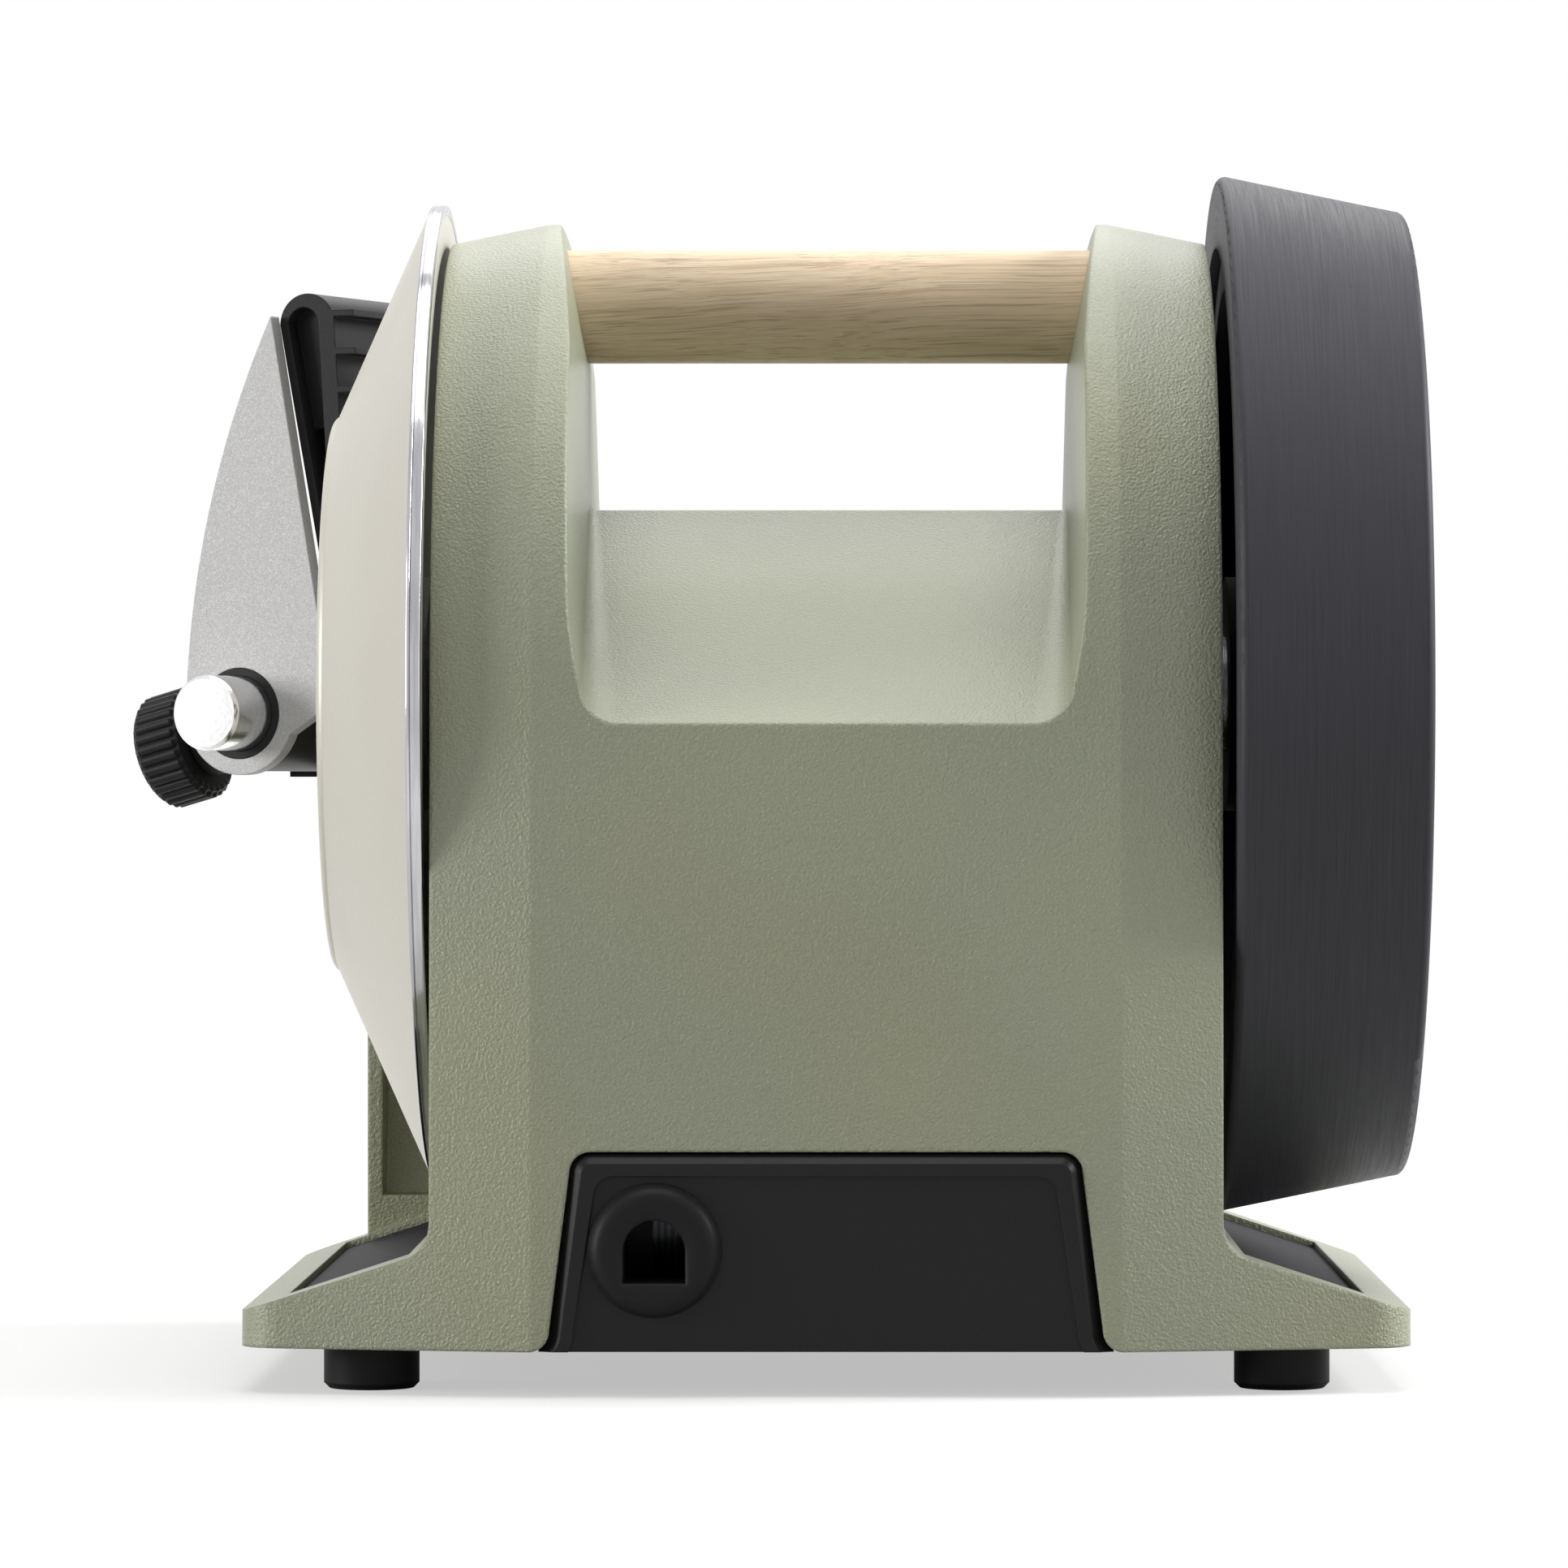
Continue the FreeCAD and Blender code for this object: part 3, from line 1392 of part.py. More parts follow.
def make_gear_carrier():
    """The plate that carries the motor and the idler's axle."""
    inner = "gear_plate_x - gear_plate_thickness"
    body = new_body("gear_plate")
    pad(body, "YZ", "-gear_plate_x", [rectangle(
        "-gear_plate_front", "gear_plate_low", "gear_plate_rear", gear_plate_high)], "gear_plate_thickness")
    holes = [(y, z, "cover_screw_radius + screw_play") for y, z in gear_posts()]
    holes += [(y, z, "motor_bolt_radius + screw_play") for y, z in motor_corners()]
    holes += [(idler_y, idler_z, "idler_axle_radius + screw_play")]
    holes += [("motor_y", motor_z, "motor_bush_radius + seat_gap")]
    drill(body, "YZ", "-gear_plate_x", holes, "gear_plate_thickness")
    keep(body)
    group("gear_plate_screws", [
        headed_screw(at(f"-({inner})", y, z, ALONG_MINUS_X), "cover_screw_radius",
                     "cover_screw_length - seat_gap", "cover_screw_head", "cover_screw_radius")
        for y, z in gear_posts()
    ])
    length = f"{axle_tip} + axle_seat_depth - seat_gap - ({inner})"
    axle = cylinder("idler_axle_radius", length, at(f"-({inner})", idler_y, idler_z, ALONG_MINUS_X))
    keep(axle, "idler_axle")
    gear_face = "main_gear_start - pinion_extra - idler_step_gap - fast_face"
    keep(turned("idler_clip", ring("idler_axle_radius + screw_play", "idler_axle_radius + axle_clip_reach",
                                   f"{gear_face} - seat_gap - clip_thickness", f"{gear_face} - seat_gap"),
                at("0", idler_y, idler_z, ALONG_MINUS_X)))


# Motor

def motor_corners():
    """Middles (y, z) of the four bolts through the motor."""
    offset = "(stack_width / 2 - motor_bolt_inset)"
    return [(f"motor_y + {y} * {offset}", f"{motor_z} + {z} * {offset}") for y, z in corner_places()]


def motor_block(label, start, length):
    """A square block about the motor's axis with rounded corners."""
    body = new_body(label)
    half = "stack_width / 2"
    pad(body, "YZ", start, [rectangle(
        f"motor_y - {half}", f"{motor_z} - {half}", f"motor_y + {half}", f"{motor_z} + {half}")], length)

    def along_axis(edge):
        """True for an edge that runs along X."""
        ends = [vertex.Point for vertex in edge.Vertexes]
        return math.dist(ends[0][1:], ends[1][1:]) < SAME

    soften(body, "Fillet", "stack_corner", along_axis)
    drill(body, "YZ", start, [(y, z, "motor_bolt_radius + screw_play") for y, z in motor_corners()], length)
    return body


def make_stator():
    """Laminated stack, end bells, windings and bushes."""
    stack = motor_block("stator_stack", "stack_start", "stack_length")
    drill(stack, "YZ", "stack_start", [("motor_y", motor_z, "rotor_radius + air_gap")], "stack_length")
    keep(stack)
    bushes = []
    for name, side in SIDES.items():
        inner = stack_end if side > 0 else "stack_start"
        outer = f"{inner} + {side} * bell_depth"
        bell = motor_block(f"end_bell_{name}", inner if side > 0 else outer, "bell_depth")
        drill(bell, "YZ", inner, [("motor_y", motor_z, "bell_bore")], "bell_depth - bell_wall", side)
        bush_hole = ("motor_y", motor_z, "motor_bush_radius + screw_play")
        drill(bell, "YZ", inner, [bush_hole], "bell_depth", side)
        keep(bell)
        keep(turned(f"winding_{name}", ring("winding_inner", "winding_outer", "0", "winding_length"),
                    at(inner, "motor_y", motor_z, OUTWARD[side])))
        section = ring("motor_shaft_radius + running_fit", "motor_bush_radius", "0", "bush_length")
        bushes.append(turned("bush", section,
                             at(f"{outer} - {side} * bush_length", "motor_y", motor_z, OUTWARD[side])))
    group("motor_bushes", bushes)
    far = f"{stack_end} + bell_depth"
    group("motor_bolts", [
        headed_screw(at(far, y, z, ALONG_MINUS_X), "motor_bolt_radius", f"{far} + gear_plate_x",
                     "m4_head_radius", "m4_head_height")
        for y, z in motor_corners()
    ])


def make_rotor():
    """The turning pieces of the motor."""
    fan_start = f"{stack_end} + bell_depth + fan_gap"
    shaft_start = f"-({fast_pinion_tip()})"
    keep(cylinder("motor_shaft_radius", f"{fan_start} + fan_width + fan_gap - ({shaft_start})",
                  at(shaft_start, "motor_y", motor_z, ALONG_X)), "motor_shaft")
    keep(turned("rotor", ring("motor_shaft_radius + screw_play", "rotor_radius", "0", "stack_length"),
                at("stack_start", "motor_y", motor_z, ALONG_X)))
    fan = turned("cooling_fan", [
        ("motor_shaft_radius + screw_play", "0"),
        ("fan_radius", "0"),
        ("fan_radius", "fan_blade"),
        ("fan_hub", "fan_blade"),
        ("fan_hub", "fan_width"),
        ("motor_shaft_radius + screw_play", "fan_width"),
    ], at(fan_start, "motor_y", motor_z, ALONG_X))
    blade = pad(fan, "XY", "fan_blade / 2", [rectangle(
        "fan_hub - fan_blade", "-fan_blade / 2", "fan_radius - fan_blade", "fan_blade / 2")],
        "fan_width - fan_blade / 2")
    repeat_around(fan, blade, "fan_blades")
    keep(fan)


def make_electrics():
    """Run capacitor with its clip, and the terminal block, on the base cover."""
    floor = "foot_height + cover_thickness"
    lift = f"{floor} + clip_thickness + capacitor_radius"
    keep(cylinder("capacitor_radius", "capacitor_length", at("capacitor_x", "capacitor_y", lift, ALONG_X)),
         "run_capacitor")
    inside = "(capacitor_radius + screw_play)"
    outside = "(capacitor_radius + screw_play + clip_thickness)"
    clip = new_body("capacitor_clip")
    middle = "capacitor_x + capacitor_length / 2 - clip_width / 2"
    pad(clip, "YZ", middle, [[
        (f"capacitor_y - {outside} - clip_foot", floor),
        (f"capacitor_y - {inside}", floor),
        (f"capacitor_y - {inside}", lift, "capacitor_y", lift, "cw"),
        (f"capacitor_y + {inside}", lift),
        (f"capacitor_y + {inside}", floor),
        (f"capacitor_y + {outside} + clip_foot", floor),
        (f"capacitor_y + {outside} + clip_foot", f"{floor} + clip_thickness"),
        (f"capacitor_y + {outside}", f"{floor} + clip_thickness"),
        (f"capacitor_y + {outside}", lift, "capacitor_y", lift, "ccw"),
        (f"capacitor_y - {outside}", lift),
        (f"capacitor_y - {outside}", f"{floor} + clip_thickness"),
        (f"capacitor_y - {outside} - clip_foot", f"{floor} + clip_thickness"),
    ]], "clip_width")
    keep(clip)
    block = new_body("terminal_block")
    half = "block_depth / 2"
    step = "block_height / 3"
    pad(block, "YZ", "block_x", [[
        (f"block_y - {half}", floor),
        (f"block_y + {half}", floor),
        (f"block_y + {half}", f"{floor} + 2 * {step}"),
        (f"block_y + {half} / 2", f"{floor} + block_height"),
        (f"block_y - {half} / 2", f"{floor} + block_height"),
        (f"block_y - {half}", f"{floor} + 2 * {step}"),
    ]], "block_length")
    poles = [
        (f"block_x + block_length * (2 * {pole} + 1) / (2 * block_poles)", f"{floor} + {step}", "block_hole")
        for pole in range(int(number("block_poles")))
    ]
    drill(block, "XZ", "block_y", poles, "2 * block_depth", 0)
    keep(block)


# Guide bar, its arm and the knife guide

def beside_guide(station, inboard, height):
    """A placement in the guide's frame, from the bar's outer end inward."""
    return guide_frame(station) * Placement(Vector(number(inboard), number(height), 0), UPWARD)


def make_guide_bar():
    """Bright bar with chamfered ends, and the arm that carries it on the pillar."""
    keep(turned("guide_bar", [
        ("0", "0"),
        ("bar_radius - bar_chamfer", "0"),
        ("bar_radius", "bar_chamfer"),
        ("bar_radius", "bar_length - bar_chamfer"),
        ("bar_radius - bar_chamfer", "bar_length"),
        ("0", "bar_length"),
    ], guide_frame("bar_length")))

    def in_plan(inboard, station):
        """A corner in the plan of the arm."""
        return (inboard, f"-({station})")

    block = new_body("arm_block", guide_frame())
    pad(block, "XZ", "-arm_bottom", [[
        in_plan("-arm_outside", "arm_start"),
        in_plan("arm_inside", "arm_start"),
        in_plan("arm_bend_inboard", "arm_bend_station"),
        in_plan(*from_bar("side_half_width", pillar_top_rear)),
        in_plan(*from_bar("side_half_width", "-pillar_top_front")),
        in_plan(*from_bar("pillar_half_width", "-pillar_top_front")),
        in_plan("-arm_outside", "arm_tail_station"),
    ]], "arm_bottom - arm_top")
    rod(block, "XY", "-(bar_length + arm_cap)", [("0", "0", "arm_boss_radius")],
        "bar_length + arm_cap - arm_start")
    gusset = new_body("arm_gusset")
    pad(gusset, "XZ", "-gusset_y", [[
        ("pillar_half_width", f"{pillar_top} - gusset_drop"),
        ("pillar_half_width + gusset_reach", pillar_top),
        ("pillar_half_width + gusset_reach", f"{pillar_top} + screw_play"),
        ("pillar_half_width", f"{pillar_top} + screw_play"),
    ]], "gusset_thickness", 0)
    seat = "-arm_top - foot_head_depth"
    tools = [
        cylinder("bar_radius + screw_play", "bar_length", guide_frame("bar_length + seat_gap")),
        cylinder("set_screw_radius + screw_play", "arm_boss_radius", set_screw_frame()),
    ]
    screws = []
    for inboard in ("arm_screw_near", "arm_screw_far"):
        upright_screw = Placement(Vector(), Rotation(Vector(1, 0, 0), 90))
        place = beside_guide("arm_screw_station", inboard, seat) * upright_screw
        tools.append(cylinder("m4_radius + screw_play", "arm_screw_length", place))
        above = place * at("0", "0", "-arm_boss_radius")
        tools.append(cylinder("m4_head_radius + screw_play", "arm_boss_radius", above))
        screws.append(headed_screw(
            place, "m4_radius", "arm_screw_length", "m4_head_radius", "m4_head_height"))
    keep(cut(fused([block, gusset]), tools), "guide_arm")
    group("guide_arm_screws", screws)
    keep(cylinder("set_screw_radius", "arm_boss_radius - bar_radius - 2 * seat_gap",
                  set_screw_frame() * at("0", "0", "bar_radius + seat_gap")), "bar_set_screw")


def set_screw_frame():
    """On the bar's axis in the arm, with local Z upward."""
    middle = "(bar_length + arm_start) / 2"
    return guide_frame(middle) * Placement(Vector(), Rotation(Vector(1, 0, 0), -90))


def leg_line(height):
    """Inboard distance of the outer leg's outer face at a height above the bar."""
    return f"leg_top_u + leg_lean * (leg_top_v - ({height}))"


def jaw_line(height):
    """Inboard distance of the face toward the wheel at a height above the bar."""
    return f"leg_top_u + jaw_width + jaw_lean * (leg_top_v - ({height}))"


def channel_outline():
    """End view of the guide: an upside-down U whose slot takes the blade."""
    crown_middle = f"({leg_line('crown_v')} + {jaw_line('crown_v')}) / 2"
    return [
        (leg_line("leg_end"), "leg_end"),
        (f"{leg_line('leg_end')} + leg_wall", "leg_end"),
        (f"{leg_line('slot_top')} + leg_wall", "slot_top"),
        (f"{jaw_line('slot_top')} - jaw_wall", "slot_top"),
        (f"{jaw_line('jaw_end')} - jaw_wall", "jaw_end"),
        (jaw_line("jaw_end"), "jaw_end"),
        (jaw_line("crown_v"), "crown_v", crown_middle, "crown_v", "ccw"),
        (leg_line("crown_v"), "crown_v"),
    ]


def recess_outline():
    """The hollow above the slot at each end of the guide."""
    low = f"{leg_line('crown_v')} + leg_wall"
    high = f"{jaw_line('crown_v')} - jaw_wall"
    return [
        (f"{leg_line('slot_top')} + leg_wall", "slot_top - recess_overlap"),
        (f"{jaw_line('slot_top')} - jaw_wall", "slot_top - recess_overlap"),
        (high, "crown_v", f"({low} + {high}) / 2", "crown_v", "ccw"),
        (low, "crown_v"),
    ]


def make_angle_plate():
    """The grey quadrant plate at the outer end of the guide."""
    span = "((plate_curve_u - leg_top_u)^2 + (leg_top_v - plate_curve_v)^2)"
    heel = f"(sqrt({span} - plate_curve_v^2) - plate_curve_u)"
    body = new_body("angle_plate", guide_frame())
    pad(body, "XY", f"-({plate_inner})", [[
        ("plate_corner_u", "plate_corner_v"),
        ("leg_top_u", "leg_top_v", "plate_curve_u", "plate_curve_v", "ccw"),
        (f"-{heel}", "0", "0", "0", "ccw"),
        (f"sqrt({heel}^2 - plate_toe_v^2)", "-plate_toe_v"),
    ]], "plate_thickness")
    drill(body, "XY", f"-({plate_inner})", [("0", "0", "guide_spigot + screw_play")], "plate_thickness")
    drill(body, "XY", f"-({plate_inner})",
          [(u, "plate_screw_v", "cover_screw_radius + screw_play") for u in ("0", "plate_screw_u")],
          "plate_screw_bite")
    keep(body)
    group("plate_screws", [
        headed_screw(beside_guide(f"{plate_inner} + guide_web", u, "plate_screw_v"), "cover_screw_radius",
                     "guide_web + plate_screw_bite - seat_gap", "cover_screw_head", "cover_screw_radius")
        for u in ("0", "plate_screw_u")
    ])


def make_guide_body():
    """The black casting that slides and swings on the bar and takes the blade."""
    casting = new_body("guide_casting", guide_frame())
    hub_length = f"guide_hub_end - ({plate_inner})"
    rod(casting, "XY", "-guide_hub_end", [("0", "0", "guide_hub_radius")], hub_length)
    rod(casting, "XY", "-guide_hub_end", [("0", "0", "guide_spigot")], "guide_hub_end - plate_start")
    web = [
        ("-guide_hub_radius / 2", "0"),
        (f"{leg_line('leg_end')} + leg_wall / 2", "leg_end"),
        (f"{leg_line('web_top')} + leg_wall / 2", "web_top"),
        ("-guide_hub_radius / 2", "web_top"),
    ]
    pad(casting, "XY", f"-({plate_inner})", [web], "guide_web", -1)
    pad(casting, "XY", "-guide_hub_end", [web], "guide_web")
    length = f"guide_end - ({plate_inner})"
    pad(casting, "XY", "-guide_end", [channel_outline()], length)
    ribs = []
    for step in range(3):
        middle = f"(rib_top_v - {step} * rib_spacing)"
        ribs.append([
            (f"{jaw_line(middle)} - rib_thickness", f"{middle} - rib_thickness / 2"),
            (f"{jaw_line(middle)} + rib_reach", f"{middle} - rib_thickness / 2"),
            (f"{jaw_line(middle)} + rib_reach", f"{middle} + rib_thickness / 2"),
            (f"{jaw_line(middle)} - rib_thickness", f"{middle} + rib_thickness / 2"),
        ])
    pad(casting, "XY", "-guide_end", ribs, length)
    pocket(casting, "XY", f"-({plate_inner})", [recess_outline()], "guide_recess", -1)
    pocket(casting, "XY", "-guide_end", [recess_outline()], "guide_recess")
    drill(casting, "XY", f"-({plate_inner})",
          [(u, "plate_screw_v", "cover_screw_radius + screw_play") for u in ("0", "plate_screw_u")],
          "guide_web", -1)
    boss = cylinder("knob_boss_radius", "knob_start - knob_gap", knob_frame("0"))
    bore = cylinder("bar_radius + running_fit", "guide_hub_end + clip_thickness",
                    guide_frame("guide_hub_end"))
    hole = cylinder("clamp_screw_radius + running_fit", "knob_start", knob_frame("0"))
    keep(cut(fused([casting, boss]), [bore, hole]), "guide_body")


def knob_frame(distance):
    """Local Z runs out from the bar's axis toward the knob, away from the wheel."""
    lean = math.radians(number("knob_tilt_degrees"))
    outward = Vector(-math.cos(lean), -math.sin(lean), 0)
    turn = Rotation(Vector(0, 0, 1), outward)
    return guide_frame("knob_station") * Placement(outward * number(distance), turn)


def make_knob():
    """The fluted knob and its clamp screw."""
    play = "clamp_screw_radius + screw_play"
    low = "knob_round"
    high = "knob_length - knob_round"
    shoulder = "knob_radius - knob_round"
    knob = turned("clamp_knob", [
        (play, "0"),
        (shoulder, "0", shoulder, low, "ccw"),
        ("knob_radius", low),
        ("knob_radius", high, shoulder, high, "ccw"),
        (shoulder, "knob_length"),
        ("0", "knob_length"),
        ("0", "knob_length - knob_cap"),
        (play, "knob_length - knob_cap"),
    ], knob_frame("knob_start"))
    flute = drill(knob, "XY", "0", [("knob_radius", "0", "flute_radius")], "knob_length")
    repeat_around(knob, flute, "knob_flutes")
    keep(knob)
    start = "bar_radius + seat_gap / 2"
    keep(cylinder("clamp_screw_radius", f"knob_start + knob_length - knob_cap - seat_gap - ({start})",
                  knob_frame(start)), "clamp_screw")


MAKERS = (
    make_housing,
    make_feet,
    make_trays,
    make_handle,
    make_base_cover,
    make_panels,
    make_bushing,
    make_switch,
    make_bearings,
    make_shaft,
    make_diamond_wheel,
    make_honing_wheel,
    make_wheel_bolts,
    make_gears,
    make_gear_carrier,
    make_stator,
    make_rotor,
    make_electrics,
    make_guide_bar,
    make_angle_plate,
    make_guide_body,
    make_knob,
)
for make in MAKERS:
    make()
doc.recompute()

for item in doc.Objects:
    if {"Invalid", "Error"} & set(item.State):
        raise RuntimeError(f"{item.Label} failed: {item.State}")
for item in nodes:
    if item.Shape.isNull() or not item.Shape.isValid():
        raise RuntimeError(f"{item.Label} has no valid shape")

os.makedirs("parts", exist_ok=True)
for item in nodes:
    item.Shape.exportStep(os.path.join("parts", f"{item.Label}.step"))
print(f"{len(nodes)} sub-parts written")
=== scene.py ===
import json
import math

import bmesh
import bpy
from bpy.props import FloatProperty, FloatVectorProperty, IntProperty, PointerProperty
from mathutils import Matrix, Vector


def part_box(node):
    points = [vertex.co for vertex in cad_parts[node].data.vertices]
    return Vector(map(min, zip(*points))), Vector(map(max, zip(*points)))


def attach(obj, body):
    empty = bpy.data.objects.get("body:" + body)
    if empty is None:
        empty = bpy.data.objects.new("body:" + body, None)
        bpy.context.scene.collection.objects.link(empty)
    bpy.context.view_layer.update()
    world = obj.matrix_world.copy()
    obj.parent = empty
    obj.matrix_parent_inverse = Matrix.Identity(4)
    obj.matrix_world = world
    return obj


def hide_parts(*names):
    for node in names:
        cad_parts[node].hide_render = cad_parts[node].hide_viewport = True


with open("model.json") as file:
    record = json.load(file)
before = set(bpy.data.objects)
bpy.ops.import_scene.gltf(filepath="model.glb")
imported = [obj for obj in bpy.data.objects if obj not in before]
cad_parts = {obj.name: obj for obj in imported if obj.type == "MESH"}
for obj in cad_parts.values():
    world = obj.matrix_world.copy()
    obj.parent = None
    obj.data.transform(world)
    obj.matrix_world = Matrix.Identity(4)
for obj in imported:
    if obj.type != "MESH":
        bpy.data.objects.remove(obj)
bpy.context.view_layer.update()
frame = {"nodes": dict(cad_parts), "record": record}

bl_info = {
    "name": "Knife sharpener",
    "version": (1, 0, 0),
    "blender": (4, 5, 0),
    "location": "3D View > Sidebar > Sharpener",
    "description": "Finishes and fine pieces of a two-wheel knife sharpener on its packed frame",
    "category": "Object",
}

MM = 0.001
BODIES = {node: body for body, listed in frame["record"]["behaviour"]["bodies"].items() for node in listed}
SLOTS = {part["node"]: part["material_slot"] for part in frame["record"]["subparts"]}
JOINTS = {joint["name"]: joint for joint in frame["record"]["behaviour"]["joints"]}

# Edges that turn by more than this stay sharp
SHARP_DEGREES = 34
# Steps round the wheels and the bushing, and round the small pieces and the floor
AROUND = 192
AROUND_SMALL = 96
# Radius that the light sees on the edges of mouldings and of the angle plate
SMALL_EDGE = 0.0003


# Colours and sizes that a user may change


def display(red, green, blue):
    """A colour as it looks on a screen, from 0 to 255, in the linear values of a shader."""
    shares = (red / 255, green / 255, blue / 255)
    return tuple(share / 12.92 if share <= 0.04045 else ((share + 0.055) / 1.055) ** 2.4 for share in shares)


def colour(name, description, default):
    """A colour property."""
    return FloatVectorProperty(name=name, description=description, subtype="COLOR", size=3, min=0, max=1,
                               default=default)


def length(name, description, default):
    """A length property in metres."""
    return FloatProperty(name=name, description=description, subtype="DISTANCE", unit="LENGTH", min=0,
                         precision=5, default=default)


def share(name, description, default):
    """A share from nothing to all."""
    return FloatProperty(name=name, description=description, subtype="FACTOR", min=0, max=1, default=default)


class StageSettings(bpy.types.PropertyGroup):
    """The camera, the light and the floor."""

    camera_place: FloatVectorProperty(
        name="Camera place", description="Where the camera stands", subtype="TRANSLATION", unit="LENGTH",
        size=3, default=(-0.0061, 1.139, 0.0897))
    lens: FloatProperty(name="Lens", description="Focal length on a 36 mm sensor", unit="CAMERA",
                        default=169.75)
    shift_x: FloatProperty(name="Shift across", description="Share of the frame", default=-0.0538)
    shift_y: FloatProperty(name="Shift up", description="Share of the frame", default=-0.0057)
    floor_colour: colour("Floor", "Colour of the plain floor", display(244, 244, 242))
    floor_radius: length("Floor radius", "How far the floor reaches before it fades out", 0.9)
    floor_bounce: colour("Floor bounce", "Tone of the floor for the light that it throws back",
                         display(150, 150, 148))
    floor_glow: share("Floor glow", "Share of the floor that stays white in shadow, for the camera", 0.5)
    room_above: share("Room above", "Light from above", 0.2)
    room_behind: share("Room behind the camera", "Light from behind the camera", 0.06)
    room_right: share("Room ahead, right", "Light from ahead of the camera on its right", 1.6)
    room_left: share("Room ahead, left", "Light from ahead of the camera on its left", 0.35)


class HousingSettings(bpy.types.PropertyGroup):
    """The painted casting."""

    paint: colour("Paint", "Main tone of the paint", display(150, 156, 132))
    paint_shade: colour("Paint in the hollows", "Browner tone of the paint", display(140, 139, 113))
    paint_cool: colour("Paint, cool", "Greyer tone of the paint", display(139, 146, 129))
    paint_flake: colour("Paint flakes", "Tone of the metal flakes", display(186, 188, 172))
    edge_round: length("Edge rounding", "Radius that the light sees on the casting's edges", 0.0008)


class HandleSettings(bpy.types.PropertyGroup):
    """The oak handle."""

    oak_light: colour("Pale oak", "Early wood", display(238, 217, 188))
    oak_dark: colour("Dark oak", "Late wood", display(218, 193, 160))
    oak_pore: colour("Oak pores", "Long dark streaks", display(128, 102, 76))


class DiamondSettings(bpy.types.PropertyGroup):
    """The conical diamond wheel."""

    face_light: colour("Diamond face", "Light tone of the coated face", display(203, 200, 190))
    face_dark: colour("Diamond face, shade", "Dark tone of the coated face", display(182, 177, 167))
    rim_width: length("Rim width", "Width of the bright rim", 0.0022)
    rim_depth: length("Rim depth", "How far the bright rim reaches inward", 0.0015)
    rim_round: length("Rim rounding", "Radius of the rim's edges", 0.0003)
    groove: length("Rim groove", "Width and depth of the fine groove in the rim", 0.00012)


class HoningSettings(bpy.types.PropertyGroup):
    """The honing wheel."""

    composite_light: colour("Honing ring", "Light tone of the composite", display(61, 61, 66))
    composite_dark: colour("Honing ring, shade", "Dark tone of the composite", display(47, 47, 52))


class TrimSettings(bpy.types.PropertyGroup):
    """Black mouldings and rubber."""

    black_light: colour("Black, worn", "Light tone of the black mouldings", display(41, 41, 42))
    black_dark: colour("Black", "Dark tone of the black mouldings", display(29, 29, 30))


class GuideSettings(bpy.types.PropertyGroup):
    """The knife guide."""

    zinc_light: colour("Plate, light", "Light grains of the blasted plate", display(206, 206, 206))
    zinc_dark: colour("Plate, dark", "Dark grains of the blasted plate", display(164, 164, 165))
    bar_bevel: length("Bar bevel", "Bevel at both ends of the guide bar", 0.0005)
    bar_round: length("Bar rounding", "Radius at both sides of that bevel", 0.00015)


class KnobSettings(bpy.types.PropertyGroup):
    """The clamp knob."""

    ridges: IntProperty(name="Ridges", description="Rounded ridges round the knob", min=8, default=30)
    radius: length("Radius", "Over the ridges", 0.0094)
    height: length("Height", "From the boss to the outer face", 0.0084)
    ridge_width: length("Ridge width", "Across one ridge", 0.00178)
    bevel: length("Bevel", "Bevel at both ends of the ridges", 0.0009)
    bore: length("Bore", "Radius of the bore for the clamp screw", 0.00305)
    cap: length("Cap", "Thickness over the end of the clamp screw", 0.002)


class BushingSettings(bpy.types.PropertyGroup):
    """The cord bushing."""

    radius: length("Radius", "Outside of the flange", 0.0097)
    crown: length("Crown radius", "Radius of the ring's highest line", 0.0074)
    rise: length("Rise", "Height of the ring over the panel", 0.0032)
    lip: length("Lip", "How far the mouth lies below the highest line", 0.0007)
    neck: length("Neck", "Radius of the neck through the panel", 0.0072)
    barb: length("Barb", "How far the barb stands out behind the panel", 0.0012)
    way_width: length("Width of the way", "Width of the D-shaped way", 0.0089)
    way_height: length("Height of the way", "Height of the D-shaped way", 0.009)


# Shader nodes

# Sockets of the colour mix node, whose names occur more than once
MIX_FACTOR, MIX_FIRST, MIX_SECOND, MIX_RESULT = 0, 6, 7, 2
WHITE = (1, 1, 1, 1)


def add_node(tree, kind, inputs=None, **attributes):
    """A node with its attributes set. Each input takes a value or the link from an output socket."""
    node = tree.nodes.new(kind)
    for name, value in attributes.items():
        setattr(node, name, value)
    for name, value in (inputs or {}).items():
        if isinstance(value, bpy.types.NodeSocket):
            tree.links.new(value, node.inputs[name])
        else:
            node.inputs[name].default_value = value
    return node


def reckon(tree, operation, *values):
    """The result of a math node on numbers or output sockets."""
    return add_node(tree, "ShaderNodeMath", dict(enumerate(values)), operation=operation).outputs[0]


def vector_math(tree, operation, *values):
    """The outputs of a vector math node on vectors or output sockets."""
    return add_node(tree, "ShaderNodeVectorMath", dict(enumerate(values)), operation=operation).outputs


def split(tree, vector):
    """The X, Y and Z of a vector."""
    return add_node(tree, "ShaderNodeSeparateXYZ", {"Vector": vector}).outputs


def map_range(tree, value, low, high, to_low=0.0, to_high=1.0, kind="LINEAR"):
    """A value moved from one range into another."""
    inputs = {"Value": value, "From Min": low, "From Max": high, "To Min": to_low, "To Max": to_high}
    return add_node(tree, "ShaderNodeMapRange", inputs, interpolation_type=kind).outputs["Result"]


def noise(tree, where, scale, detail, roughness):
    """The outputs of a noise texture."""
    inputs = {"Vector": where, "Scale": scale, "Detail": detail, "Roughness": roughness}
    return add_node(tree, "ShaderNodeTexNoise", inputs).outputs


